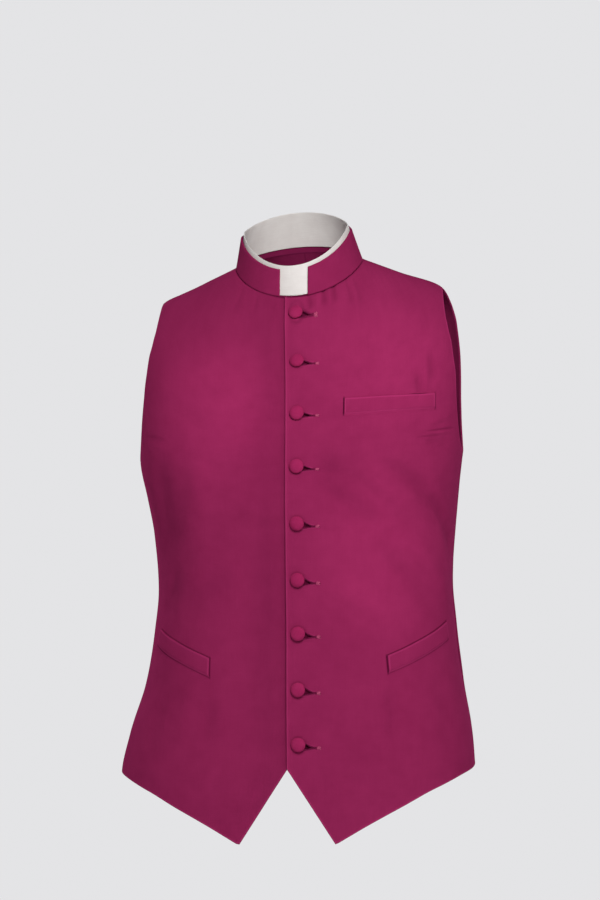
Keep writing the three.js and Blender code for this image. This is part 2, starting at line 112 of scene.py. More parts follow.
HIP_WELTS = (
    dict(name="hip_welt_left",
         inner=dict(x=102.9, top=-444.9, height=19.4, lean=2.0),
         outer=dict(x=166.1, top=-412.1, height=20.0, lean=4.5)),
    dict(name="hip_welt_right",
         inner=dict(x=-94.7, top=-443.5, height=21.2, lean=0.5),
         outer=dict(x=-155.1, top=-412.8, height=19.0, lean=8.0)),
)

# Folds in the cloth: from (s0, v0) to (s1, v1), bowed sideways by bow, half as
# wide as width, height above the cloth (below it if negative), and skew, which
# makes one flank steeper than the other.
# painted shade: the colour is darkened in the troughs of the folds
FOLD_PAINTED_SHADE = 0.5  # how much darker a trough is for its depth and narrowness
FOLD_COLUMNS = ("s0", "v0", "s1", "v1", "bow", "width", "height", "skew")
FOLDS_FRONT_LEFT = (
    # creases at the armhole, under the arm
    (144, -182, 206, -191, 0.6, 1.2, -0.8, 0.2),
    (140, -185, 202, -195, 0.8, 1.8, 0.5, 0.0),
    (136, -188, 176, -194, 0.6, 1.2, -0.45, 0.0),
    (150, -176, 200, -172, 3.0, 6.0, 1.0, 0.3),
    (146, -196, 190, -212, 4.0, 8.0, -1.3, 0.0),
    # soft upright bands above the chest welt, towards the shoulder
    (138, -94, 141, -146, 1.5, 5.5, -1.9, 0.2),
    (149, -90, 150, -134, 1.0, 4.5, 1.2, 0.0),
    (157, -76, 161, -124, 1.0, 5.5, -1.6, 0.0),
    (124, -70, 126, -126, 2.0, 8.0, 1.0, 0.0),
    # small pulls from the neck seam
    (12, 2, 17, -12, 0.6, 3.6, -1.7, 0.0),
    (23, 2, 25, -13, 0.4, 2.2, 0.7, 0.0),
    (31, 5, 31.5, -11, 0.4, 2.7, -1.5, 0.1),
    (38, 4, 39, -13, 0.4, 2.4, 0.8, 0.1),
    (45.5, 5, 46, -12, 0.4, 2.6, -1.2, -0.1),
    (54, 3, 56, -14, 0.4, 2.8, 0.6, 0.0),
    (64, 3, 66, -17, 0.5, 3.2, -0.9, 0.1),
    (76, 1, 80, -20, 0.8, 3.0, -0.9, 0.0),
    # drapes running down from the chest to the side
    (56, -214, 140, -300, 4.0, 11.0, 2.6, 0.2),
    (88, -204, 184, -306, 6.0, 11.0, -3.0, 0.0),
    (24, -236, 92, -310, 5.0, 11.0, -1.7, 0.1),
    (142, -226, 208, -326, 4.0, 11.0, 1.9, 0.0),
    (156, -262, 216, -352, 4.0, 10.0, -3.4, 0.2),
    (108, -308, 206, -400, 6.0, 12.0, 3.6, 0.2),
    (84, -326, 172, -408, 5.0, 12.0, -2.3, 0.0),
    (28, -352, 118, -412, -7.0, 14.0, 1.7, 0.2),
    (32, -118, 96, -148, -5.0, 14.0, -1.0, 0.0),
    (4, -220, 84, -228, 3.0, 22.0, -3.2, 0.0),
    # shallow hollow beside the ends of the buttonholes
    (33, -160, 38, -286, 2.0, 15.0, -2.0, 0.0),
    (60, -84, 128, -112, -5.0, 17.0, 1.6, 0.0),
    # below the hip welt and down the skirt
    (99, -470, 102, -545, 2.0, 7.0, -1.2, 0.2),
    (124, -478, 134, -560, 3.0, 12.0, 1.2, 0.0),
    (160, -470, 176, -566, 4.0, 10.0, -1.1, 0.1),
    (30, -560, 52, -634, 3.0, 9.0, 0.8, 0.0),
)
FOLDS_FRONT_RIGHT = (
    # long soft ridge from the armhole into the waist, the cloth falling away beside it
    (-118, -190, -138, -330, 9.0, 17.0, 2.4, 0.1),
    (-168, -186, -158, -352, -7.0, 19.0, -3.0, 0.1),
    (-104, -300, -146, -384, 5.0, 15.0, 1.5, 0.0),
    (-142, -330, -178, -420, -5.0, 12.0, -1.9, 0.2),
    (-58, -250, -98, -330, 6.0, 13.0, -1.0, 0.0),
    (-158, -178, -204, -184, -3.0, 4.0, -0.6, 0.3),
    (-152, -189, -202, -199, -3.0, 6.0, 0.5, 0.0),
    # chest fullness
    (-64, -92, -118, -156, -6.0, 22.0, 2.0, 0.0),
    (-36, -190, -108, -226, -8.0, 18.0, -1.5, 0.2),
    # small dent beside the fifth button and drapes at the waist
    (-36, -280, -40, -300, 0.5, 5.0, -0.6, 0.0),
    (-46, -322, -148, -366, 8.0, 15.0, 1.0, 0.2),
    # shallow hollow down the skirt beside the closing edge
    (-44, -270, -50, -580, 3.0, 24.0, -1.7, 0.0),
    (-66, -342, -150, -388, 6.0, 13.0, -1.2, 0.0),
    # neck seam pulls
    (-24, 1, -28, -14, 0.5, 2.6, -0.3, 0.0),
    (-47, 1, -50, -15, 0.5, 2.8, -0.4, 0.0),
    (-70, 1, -76, -18, 0.6, 3.0, -0.4, 0.0),
    # skirt
    (-96, -474, -104, -552, -2.0, 8.0, -1.1, 0.2),
    (-122, -470, -140, -560, -4.0, 12.0, 1.2, 0.0),
    (-160, -474, -178, -562, -4.0, 9.0, -1.0, 0.1),
    (-40, -556, -62, -632, -3.0, 9.0, 0.8, 0.0),
)
FOLDS_BACK = (
    # across the shoulder blades
    (-120, -92, -20, -112, 8.0, 12.0, -2.4, 0.2),
    (112, -88, 14, -118, -9.0, 12.0, -2.2, 0.2),
    (-150, -120, -60, -136, 6.0, 10.0, 2.3, 0.0),
    (146, -128, 66, -140, -5.0, 10.0, 2.0, 0.0),
    (-84, -150, -64, -232, 6.0, 15.0, 2.0, 0.0),
    (78, -146, 66, -236, -6.0, 15.0, 1.9, 0.0),
    # from the underarm inwards and down
    (-196, -218, -110, -268, 9.0, 9.0, 3.4, 0.3),
    (-190, -238, -104, -292, 9.0, 9.0, -3.0, 0.0),
    (194, -222, 116, -276, -8.0, 9.0, 3.1, 0.3),
    (186, -246, 98, -300, -8.0, 10.0, -2.7, 0.0),
    # folds gathered in the hollow of the back at the waist
    (-128, -318, -30, -338, 10.0, 9.0, 3.6, 0.3),
    (-120, -340, -18, -352, 9.0, 8.0, -3.4, 0.0),
    (-136, -364, -26, -372, 7.0, 9.0, 3.5, 0.3),
    (-118, -388, -36, -390, 5.0, 9.0, -2.7, 0.0),
    (120, -326, 22, -344, -9.0, 9.0, 3.5, 0.3),
    (130, -350, 30, -360, -8.0, 8.0, -3.2, 0.0),
    (116, -376, 28, -380, -6.0, 9.0, 3.1, 0.3),
    (132, -402, 50, -400, -5.0, 10.0, -2.3, 0.0),
    # skirt
    (-60, -440, -86, -560, -5.0, 13.0, 3.0, 0.1),
    (-104, -450, -130, -566, -5.0, 12.0, -2.7, 0.0),
    (-150, -438, -172, -560, -5.0, 12.0, 2.4, 0.0),
    (64, -446, 82, -562, 4.0, 13.0, 2.8, 0.1),
    (112, -440, 138, -560, 5.0, 12.0, -2.6, 0.0),
    (156, -446, 178, -560, 5.0, 12.0, 2.3, 0.0),
)


# ------------------------------------------------------------------ tables
def table_column(rows, column):
    """Monotone cubic through one column of a table."""
    x = np.array([r[0] for r in rows], float)
    y = np.array([r[column] for r in rows], float)
    h, d = np.diff(x), np.diff(y) / np.diff(x)
    m = np.zeros_like(y)
    for i in range(1, len(x) - 1):
        if d[i - 1] * d[i] > 0:
            w1, w2 = 2 * h[i] + h[i - 1], h[i] + 2 * h[i - 1]
            m[i] = (w1 + w2) / (w1 / d[i - 1] + w2 / d[i])
    m[0], m[-1] = d[0], d[-1]

    def value(at):
        at = np.asarray(at, float)
        i = np.clip(np.searchsorted(x, at, side="left") - 1, 0, len(x) - 2)
        t = (at - x[i]) / h[i]
        return (
            (1 + 2 * t) * (1 - t) ** 2 * y[i] + t * (1 - t) ** 2 * h[i] * m[i]
            + t * t * (3 - 2 * t) * y[i + 1] + t * t * (t - 1) * h[i] * m[i + 1]
        )

    return value


def table_of(columns, rows):
    return {name: table_column(rows, k) for k, name in enumerate(columns) if k}


section = table_of(SECTION_COLUMNS, SECTIONS)
armhole = table_of(ARMHOLE_COLUMNS, ARMHOLE)
front_hem = table_of(HEM_COLUMNS, FRONT_HEM)
POINT_V, SIDE_HEM_V = FRONT_HEM[0][1], FRONT_HEM[-1][1]


def smooth(t):
    t = np.clip(t, 0, 1)
    return t * t * (3 - 2 * t)


def unit(a):
    return a / np.maximum(np.linalg.norm(a, axis=-1, keepdims=True), 1e-12)


def body(v, angle):
    """Points of the figure's surface. angle is in degrees from the centre front, towards the wearer's left."""
    v, a = np.broadcast_arrays(np.asarray(v, float), np.radians(np.asarray(angle, float)))
    s, c = np.sin(a), np.cos(a)
    e = 2 / section["power"](v)
    across = np.sign(s) * np.abs(s) ** e
    along = np.abs(c) ** e
    front = c >= 0
    x = section["midX"](v) + section["halfWidth"](v) * across
    y = section["midY"](v) + np.where(front, -section["frontDepth"](v), section["backDepth"](v)) * along
    tilt = along**1.3
    z = v + np.where(front, -section["frontDrop"](v), section["backRise"](v)) * tilt
    return np.stack([x, y, z + section["roll"](v) * x], -1)


def body_normal(v, angle):
    v = np.minimum(v, -0.6)
    u = body(v, angle + 0.8) - body(v, angle - 0.8)
    w = body(v + 0.5, angle) - body(v - 0.5, angle)
    return unit(np.cross(u, w))


def angle_at_x(v, x):
    t = np.clip((x - section["midX"](v)) / section["halfWidth"](v), -1, 1)
    s = np.sign(t) * np.abs(t) ** (section["power"](v) / 2)
    return np.degrees(np.arcsin(s))


def on_front(x, z):
    """Section height and angle of a front-view point."""
    v = np.array(z, float)
    for _ in range(40):
        v = np.clip(v - (body(v, angle_at_x(v, x))[..., 2] - z) * 0.7, -690, 0)
    return v, angle_at_x(v, x)


class Chart:
    """Lengths along the level sections of the front or the back, both ways."""

    def __init__(self, back):
        self.v = np.arange(-700, 0.5, 1.0)
        middle = 180 if back else 0
        self.angles = middle + np.linspace(-102, 102, 817)
        points = body(self.v[:, None], self.angles[None, :])
        step = np.linalg.norm(np.diff(points, axis=1), axis=2)
        length = np.concatenate([np.zeros((len(step), 1)), np.cumsum(step, 1)], 1)
        zero = np.full(len(self.v), 180.0) if back else angle_at_x(self.v, section["closeX"](self.v))
        for i, z in enumerate(zero):
            length[i] -= np.interp(z, self.angles, length[i])
        self.length = length
        self.s = np.arange(-400, 400.5, 0.5)
        self.angle = np.array([np.interp(self.s, row, self.angles) for row in length])

    @staticmethod
    def _look(grid, i, j):
        i0 = np.clip(np.floor(i).astype(int), 0, grid.shape[0] - 2)
        j0 = np.clip(np.floor(j).astype(int), 0, grid.shape[1] - 2)
        a, b = i - i0, j - j0
        return (
            grid[i0, j0] * (1 - a) * (1 - b) + grid[i0 + 1, j0] * a * (1 - b)
            + grid[i0, j0 + 1] * (1 - a) * b + grid[i0 + 1, j0 + 1] * a * b
        )

    def to_angle(self, s, v):
        v = np.clip(v, -700, 0)
        return self._look(self.angle, v + 700, (s + 400) / 0.5)

    def to_length(self, angle, v):
        v = np.clip(v, -700, 0)
        return self._look(self.length, v + 700, (angle - self.angles[0]) / 0.25)


FRONT, BACK = Chart(False), Chart(True)


# ------------------------------------------------------------------ relief
def fold_height(folds, s, v, painted_trough_shade=False):
    """Height of the folds of a table at the points (s, v), or how much shade is painted into their troughs."""
    total = np.zeros(np.broadcast(s, v).shape)
    for s0, v0, s1, v1, bow, width, height, skew in folds:
        # painted shade in a trough, more for its depth and narrowness
        if painted_trough_shade:
            height = FOLD_PAINTED_SHADE * max(-height, 0) / width**0.9
        ds, dv = s1 - s0, v1 - v0
        length = math.hypot(ds, dv)
        t = ((s - s0) * ds + (v - v0) * dv) / length**2
        off = ((s - s0) * -dv + (v - v0) * ds) / length - bow * 4 * np.clip(t, 0, 1) * (1 - np.clip(t, 0, 1))
        wide = width * (1 + skew * np.sign(off)) * (0.75 + 0.5 * np.clip(t, 0, 1))
        ends = smooth(t / 0.35) * smooth((1 - t) / 0.35)
        total = total + height * ends * np.exp(-((off / wide) ** 2))
    return total


def swell(s, v, seed, scale, height):
    """Broad uneven rise and fall of the cloth, repeatable from its seed."""
    rng = np.random.default_rng(seed)
    total = np.zeros(np.broadcast(s, v).shape)
    for k in range(7):
        a, p = rng.uniform(0, math.pi), rng.uniform(0, 2 * math.pi)
        f = 2 * math.pi / (scale * rng.uniform(0.7, 1.7))
        total = total + np.sin((s * math.cos(a) + v * 0.75 * math.sin(a)) * f + p + 0.7 * np.sin(v / 57 + k))
    return height * total / 3.5


def groove(d, depth, half):
    return -depth * np.exp(-((d / half) ** 2))


PULLS = (0.60, 0.80, 0.90, 1.00, 1.10, 1.00, 0.92, 1.05, 0.88)  # how far each button pulls its hole open
HOLE_V = []  # section height and start of each buttonhole's line, and its pull
for (bx, bz), pulled in zip(BUTTON_ROWS, PULLS):
    hv, ha = on_front(bx, bz - BUTTON["aboveHole"])
    HOLE_V.append((float(hv), float(FRONT.to_length(ha, hv)), pulled))


def relief_front_left(s, v):
    h = fold_height(FOLDS_FRONT_LEFT, s, v)
    calm = smooth((s + OVERLAP_HALF) / 40) * smooth(-v / 25)
    h = h + calm * swell(s, v, 3, 150, 1.0) + calm * swell(s, v, 8, 62, 0.28)
    # the pressed closing edge rolls up a little
    h = h + 0.75 * np.exp(-(((s + OVERLAP_HALF - 1.5) / 1.3) ** 2))
    h = h - 0.18 * np.exp(-(((s + OVERLAP_HALF - 6.0) / 2.6) ** 2))
    for k, (hv, hs, pulled) in enumerate(HOLE_V):
        d = v - hv
        along = (s - hs)
        # lips of the hole stand up where the shank spreads them
        lips = np.exp(-((np.abs(d) - 1.6) / 1.5) ** 2) * smooth((along + 3) / 5) * smooth((21 - along) / 10)
        h = h + 0.42 * lips
        # the button presses the cloth in round its rim, and it swells between buttons
        r = np.hypot(along, d - BUTTON["aboveHole"])
        h = h - 0.35 * np.exp(-((r - 5.0) / 4.5) ** 2)
        pull = np.exp(-((d + 4.0 + 0.06 * along) / 4.2) ** 2) * smooth((along + 2) / 12) * smooth((56 - along) / 36)
        h = h - (0.34 + 0.10 * math.sin(k * 2.3)) * pull
        pull = np.exp(-((d - 6.5 - 0.05 * along) / 5.0) ** 2) * smooth((along - 2) / 12) * smooth((50 - along) / 30)
        h = h + (0.26 + 0.08 * math.cos(k * 1.7)) * pull
    return h


def relief_front_right(s, v):
    a = -s
    sink = -(CLOTH + SEAM_GAP) * (1 - smooth((a - OVERLAP_HALF) / EASE_OUT))
    h = fold_height(FOLDS_FRONT_RIGHT, s, v)
    calm = smooth((a - OVERLAP_HALF) / 40) * smooth(-v / 25)
    h = h + calm * swell(s, v, 5, 160, 1.0) + calm * swell(s, v, 12, 66, 0.25)
    for k, (hv, hs, pulled) in enumerate(HOLE_V):
        d = v - hv
        pull = np.exp(-((d + 1.0 + 0.1 * a) / 7.0) ** 2) * smooth((a - 13) / 8) * smooth((66 - a) / 40)
        h = h - (0.30 + 0.10 * math.sin(k * 1.9 + 1)) * pull
    return h + sink


def relief_back(s, v):
    calm = smooth(-v / 25)
    return fold_height(FOLDS_BACK, s, v) + calm * (swell(s, v, 21, 130, 1.1) + swell(s, v, 34, 60, 0.3))


def cloth_point(chart, relief, s, v, extra=0.0):
    """Point and normal of a panel's outer face at (s, v), raised by extra."""
    angle = chart.to_angle(s, v)
    n = body_normal(v, angle)
    return body(v, angle) + n * (relief(s, v) + extra)[..., None], n


# ------------------------------------------------------------------ meshes
def graded(length, first=(0.0, 0.12, 0.4, 0.9, 1.7, 3.0), last=None, step=3.0):
    """Places from 0 to length: close together at the ends, then evenly spread."""
    last = first if last is None else last
    head, tail = np.array(first), length - np.array(last)[::-1]
    gap = tail[0] - head[-1]
    n = max(1, int(round(gap / step)))
    return np.concatenate([head, head[-1] + gap * np.arange(1, n) / n, tail])


def new_object(name, verts, faces, uvs=None, attrs=None, smooth_faces=True):
    mesh = bpy.data.meshes.new(name)
    mesh.from_pydata((np.asarray(verts) * MM).tolist(), [], faces)
    if uvs is not None:
        layer = mesh.uv_layers.new(name="UVMap")
        index = np.empty(len(mesh.loops), np.int32)
        mesh.loops.foreach_get("vertex_index", index)
        layer.data.foreach_set("uv", (np.asarray(uvs)[index] * MM).ravel().astype(np.float32))
    for key, values in (attrs or {}).items():
        a = mesh.attributes.new(key, "FLOAT", "POINT")
        a.data.foreach_set("value", np.asarray(values, np.float32))
    mesh.polygons.foreach_set("use_smooth", np.full(len(mesh.polygons), smooth_faces))
    mesh.update()
    obj = bpy.data.objects.new(name, mesh)
    bpy.context.scene.collection.objects.link(obj)
    return obj


def shell(name, outer, inner, uv, keep=None, ring=False, attrs=None):
    """A closed cloth shell from two grids of points. keep masks its cells, and open borders get a wall."""
    rows, cols = outer.shape[:2]
    span = cols if ring else cols - 1
    keep = np.ones((rows - 1, span), bool) if keep is None else keep
    count = rows * cols
    at = lambda i, j: i * cols + (j % cols)
    faces = []
    inside = lambda i, j: (
        0 <= i < rows - 1 and (ring or 0 <= j < span) and keep[i, j % span]
    )
    for i, j in zip(*np.nonzero(keep)):
        i, j = int(i), int(j)
        a, b, c, d = at(i, j), at(i, j + 1), at(i + 1, j + 1), at(i + 1, j)
        faces.append((a, b, c, d))
        faces.append((count + d, count + c, count + b, count + a))
        for p, q, ni, nj in ((a, b, i - 1, j), (b, c, i, j + 1), (c, d, i + 1, j), (d, a, i, j - 1)):
            if not inside(ni, nj):
                faces.append((q, p, count + p, count + q))
    verts = np.concatenate([outer.reshape(-1, 3), inner.reshape(-1, 3)])
    used = np.unique(np.fromiter((k for f in faces for k in f), int))
    renumber = np.full(2 * count, -1)
    renumber[used] = np.arange(len(used))
    faces = [tuple(int(renumber[k]) for k in f) for f in faces]
    uvs = np.concatenate([uv.reshape(-1, 2)] * 2)[used]
    data = {k: np.concatenate([x.ravel(), y.ravel()])[used] for k, (x, y) in (attrs or {}).items()}
    data["inner"] = np.r_[np.zeros(count), np.ones(count)][used]
    return new_object(name, verts[used], faces, uvs, data)


def spread(points, step=0.3):
    """A polyline's points, filled in to at most step apart."""
    made = []
    for a, b in zip(points[:-1], points[1:]):
        n = max(1, int(math.ceil(np.linalg.norm(b - a) / step)))
        made.append(a + (b - a) * (np.arange(n) / n)[:, None])
    made.append(points[-1:])
    return np.concatenate(made)


def distance_to(points, lines):
    """Distance from each point to the nearest of some polylines."""
    near = np.concatenate([spread(line) for line in lines])
    tree = KDTree(len(near))
    for k, p in enumerate(near):
        tree.insert(p, k)
    tree.balance()
    flat = points.reshape(-1, 3)
    return np.array([tree.find(p)[2] for p in flat]).reshape(points.shape[:-1])


def rounding(d, r):
    """How far a face sinks at distance d from an edge folded to radius r."""
    t = np.clip(r - d, 0, r)
    return r - np.sqrt(np.maximum(r * r - t * t, 0))


# ------------------------------------------------------------------ panels
SLIT_FROM, SLIT_TO = -1.9, 19.5
LIP_ROWS = (0.0, 0.12, 0.38, 0.8, 1.4, 2.2, 3.4, 5.0, 6.8, 9.0)


def lip_half(along, side, pulled):
    """How far a lip of the buttonhole stands off its line, by the length from its start. The shank's pull lifts the upper lip."""
    t = np.clip(along, SLIT_FROM, SLIT_TO)
    near = smooth((t - SLIT_FROM) / 2.4)
    closing = np.clip((17.4 - t) / 10.5, 0, 1) ** 1.3
    wide = (5.2 if side > 0 else 1.4) * pulled * np.minimum(near, closing)
    return 0.04 + wide + 0.22 * near * smooth((SLIT_TO - t) / 4)


def front_rows(slits):
    """Section heights of the rows from the top of the skirt to the neck, and which pair of rows holds each slit."""
    top = np.concatenate([
        np.arange(HEM["topOfZone"], -196, 2.9), np.arange(-196, -172, 0.8), np.arange(-172, -45, 2.9),
        np.arange(-45, -6, 1.8), [-6, -4.4, -3, -1.8, -1.0, -0.5, -0.15, 0],
    ])
    extra = [UNDERARM, UNDERARM + 0.5, UNDERARM + 1.2, UNDERARM + 2.2, SHOULDER_TIP, SHOULDER_TIP - 0.5, SHOULDER_TIP - 1.2, SHOULDER_TIP - 2.2]
    top = np.concatenate([[r for r in top if min(abs(r - e) for e in extra) > 0.45], extra])
    kinds = [(r, None, 0) for r in top]
    for k, (hv, _, _) in enumerate(slits):
        kinds = [x for x in kinds if x[1] is not None or abs(x[0] - hv) > LIP_ROWS[-1] + 1.2]
        for q in LIP_ROWS:
            kinds += [(hv - q - (0.02 if q == 0 else 0), k, -1), (hv + q + (0.02 if q == 0 else 0), k, 1)]
    kinds.sort(key=lambda x: x[0])
    return kinds


def level(s, v):
    """Lowers a row towards the wearer's left so that it lies level in the front view near the buttons."""
    fade = smooth((80 - np.abs(s)) / 50) * smooth(-v / 7) * smooth((v + 567) / 22)
    return v - section["roll"](v) * s * fade


def front_grid(sign):
    slits = HOLE_V if sign > 0 else []
    kinds = front_rows(slits)
    point_x = HEM["leftPointX"] if sign > 0 else HEM["rightPointX"]
    fixed_to = 27.0 if sign > 0 else OVERLAP_HALF + EASE_OUT
    start = -OVERLAP_HALF
    head = np.array([0.0, 0.12, 0.4, 0.9, 1.7, 3.0])
    rest = np.arange(4.4, fixed_to - start, 1.35 if sign > 0 else 2.4)
    fixed = start + np.concatenate([head, rest[rest < fixed_to - start - 0.6]])
    s_point = abs(float(FRONT.to_length(angle_at_x(POINT_V, point_x), POINT_V)))
    s_side = abs(float(FRONT.to_length(sign * 90, POINT_V)))
    share_point = (s_point - fixed_to) / (s_side - fixed_to)
    before = 5 if sign > 0 else 9
    tail = np.array([0.0, 0.12, 0.4, 0.9, 1.7, 3.0])  # from the side or armhole edge
    after = 62 if sign > 0 else 60
    shares = np.concatenate([
        share_point * np.arange(0, before) / before,
        share_point + (1 - share_point) * np.arange(0, after) / after,
    ])
    cols = [("fixed", f) for f in fixed] + [("share", q) for q in shares] + [("tail", t) for t in tail[::-1]]

    def reach(v):
        angle = np.where((v > UNDERARM) & (v < SHOULDER_TIP), armhole["frontAngle"](np.clip(v, UNDERARM, SHOULDER_TIP)), 90.0)
        return np.abs(FRONT.to_length(sign * angle, v))

    def lengths(v):
        """Length from the button line of every column, at one height each."""
        r = reach(v)
        made = np.empty(v.shape)
        for j, (kind, value) in enumerate(cols):
            if kind == "fixed":
                made[:, j] = value
            elif kind == "share":
                made[:, j] = fixed_to + value * (r[:, j] - 4.6 - fixed_to)
            else:
                made[:, j] = r[:, j] - value
        return made

    n = len(cols)
    rows_v = np.array([k[0] for k in kinds])[:, None].repeat(n, 1)
    # hem heights of the columns
    s_hem = lengths(np.full((1, n), POINT_V))[0]
    x_hem = body(POINT_V, FRONT.to_angle(sign * s_hem, np.full(n, POINT_V)))[:, 0]
    t = (x_hem - HEM["apexX"]) / (point_x - HEM["apexX"])
    cut = HEM["apexV"] + t * (POINT_V - HEM["apexV"])
    share = (s_hem - s_point) / (s_side - s_point)
    hem = np.where(share <= 1e-6, cut, front_hem["height"](np.clip(share, 0, 1)))
    near = np.array([0.0, 0.12, 0.4, 0.9, 1.7, 3.0])
    zone_rows = [hem + q for q in near]
    steps = 34
    for w in range(1, steps):
        low = hem + 3.0
        zone_rows.append(low + (HEM["topOfZone"] - low) * w / steps)
    v = np.concatenate([np.array(zone_rows), rows_v])
    s = lengths(v)
    # spread the lips of the buttonholes
    keep = np.ones((len(v) - 1, n - 1), bool)
    lips = []
    if slits:
        base = len(zone_rows)
        for k, (hv, hs, pulled) in enumerate(slits):
            mine = [i for i, x in enumerate(kinds) if x[1] == k]
            for i in mine:
                q = abs(kinds[i][0] - hv)
                side = kinds[i][2]
                half = lip_half(s[base + i] - hs, side, pulled)
                inside = (s[base + i] - hs > SLIT_FROM) & (s[base + i] - hs < SLIT_TO)
                share_q = np.clip(1 - q / LIP_ROWS[-1], 0, 1)
                v[base + i] = hv + side * (q + (half - 0.04) * share_q * 1.0 * inside)
            low = [i for i in mine if kinds[i][2] < 0][-1]
            mid = (s[base + low] - hs)
            hole = (mid > SLIT_FROM) & (mid < SLIT_TO)
            cells = hole[:-1] & hole[1:]
            keep[base + low][cells] = False
            lips.append((base + low, base + low + 1, np.nonzero(hole)[0]))
    v = level(s, v) if sign > 0 else v
    if sign < 0:
        s, v = -s[:, ::-1], v[:, ::-1]
        keep = keep[:, ::-1]
    return s, v, keep, lips


def panel(name, chart, relief, s, v, keep, free_lines, seam_lines, thick=CLOTH, extra_round=None):
    """One panel as a shell: outer and inner faces, folded free edges and seams drawn in."""
    angle = chart.to_angle(s, v)
    n = body_normal(v, angle)
    base = body(v, angle)
    # free_lines and seam_lines pick borders of the grid
    d_free = distance_to(base, [pick(base) for pick in free_lines])
    d_seam = distance_to(base, [pick(base) for pick in seam_lines])
    for pick in free_lines:
        pick(d_free)[...] = 0
    for pick in seam_lines:
        pick(d_seam)[...] = 0
    if extra_round is not None:
        d_free = np.minimum(d_free, extra_round)
    h = relief(s, v)
    sink = rounding(d_free, EDGE_ROUND)
    seam = groove(d_seam, 0.75, 0.95) + 0.16 * np.exp(-((d_seam - 3.4) / 2.4) ** 2)
    outer = base + n * (h - sink + seam)[..., None]
    inner = base + n * (h - thick + np.minimum(sink, thick / 2 - 0.02))[..., None]
    # painted shade beside the lips of the open holes, and a painted shadow round each button's rim, heavier below it
    # and towards the wearer's left
    shade = np.zeros(s.shape)
    if relief is relief_front_left:
        for hv, hs, pulled in HOLE_V:
            a, d = s - hs, level(s, v) - level(s, hv)
            lips = np.clip(np.where(d > 0, d - lip_half(a, 1, pulled), -d - lip_half(a, -1, pulled)), 0, None)
            near = np.exp(-((lips / 2.1) ** 2)) * smooth((a - 2) / 4) * smooth((17 - a) / 8)
            r = np.hypot(a - 0.8, d - BUTTON["aboveHole"] + 1.0)
            rim = np.exp(-(((r - BUTTON["radius"]) / 1.5) ** 2))
            shade = np.maximum(shade, np.maximum(0.50 * near, 0.36 * rim * (0.55 + 0.45 * smooth((a - d + 6) / 14))))
    folds = {relief_front_left: FOLDS_FRONT_LEFT, relief_front_right: FOLDS_FRONT_RIGHT}.get(relief, FOLDS_BACK)
    # painted shade in the troughs of the folds
    shade = np.clip(shade + fold_height(folds, s, v, painted_trough_shade=True), 0, 0.8)
    under = np.zeros(s.shape)
    if relief is relief_front_right:
        # painted shade where it is covered by the other front, and a painted soft shadow beside that front's edge
        under = smooth((OVERLAP_HALF - 0.6 + s) / 1.2)
        beside_shadow = 0.25 * smooth((s + OVERLAP_HALF + 62) / 62) + 0.10 * smooth((s + OVERLAP_HALF + 7) / 7)
        under = np.maximum(under, beside_shadow)
    obj = shell(
        name, outer, inner, np.stack([s, v], -1), keep,
        attrs={"edge": (d_free, d_free), "seam": (d_seam, d_seam), "under": (under, under), "shade": (shade, shade)},
    )
    return obj, outer, n


top_row = lambda g: g[-1]
bottom_row = lambda g: g[0]
first_column = lambda g: g[:, 0]
last_column = lambda g: g[:, -1]


def between(column, v, low, high):
    """Picks the part of a border column whose heights lie between two values."""
    rows = np.nonzero((v[:, column] >= low - 1e-6) & (v[:, column] <= high + 1e-6))[0]
    a, b = rows[0], rows[-1] + 1
    return lambda g: g[a:b, column]


def front(sign, name, relief):
    s, v, keep, lips = front_grid(sign)
    side, close = (-1, 0) if sign > 0 else (0, -1)
    extra = None
    if lips:
        # the cut edges of the holes are rounded too
        extra = np.full(s.shape, 99.0)
        base = cloth_point(FRONT, lambda a, b: 0 * a, s, v)[0]
        for (low, high, columns) in lips:
            a, b = columns[0], columns[-1] + 1
            lo, hi = max(low - 10, 0), high + 11
            block = base[lo:hi, a:b]
            d = distance_to(block, [base[low, a:b], base[high, a:b]])
            extra[lo:hi, a:b] = np.minimum(extra[lo:hi, a:b], d)
            extra[low, a:b] = 0
            extra[high, a:b] = 0
    obj, outer, n = panel(
        name, FRONT, relief, s, v, keep,
        free_lines=[between(close, v, -999, 0), bottom_row, between(side, v, UNDERARM, SHOULDER_TIP)],
        seam_lines=[top_row, between(side, v, -999, UNDERARM), between(side, v, SHOULDER_TIP, 0)],
        extra_round=extra,
    )
    return obj, s, v, lips, outer, n


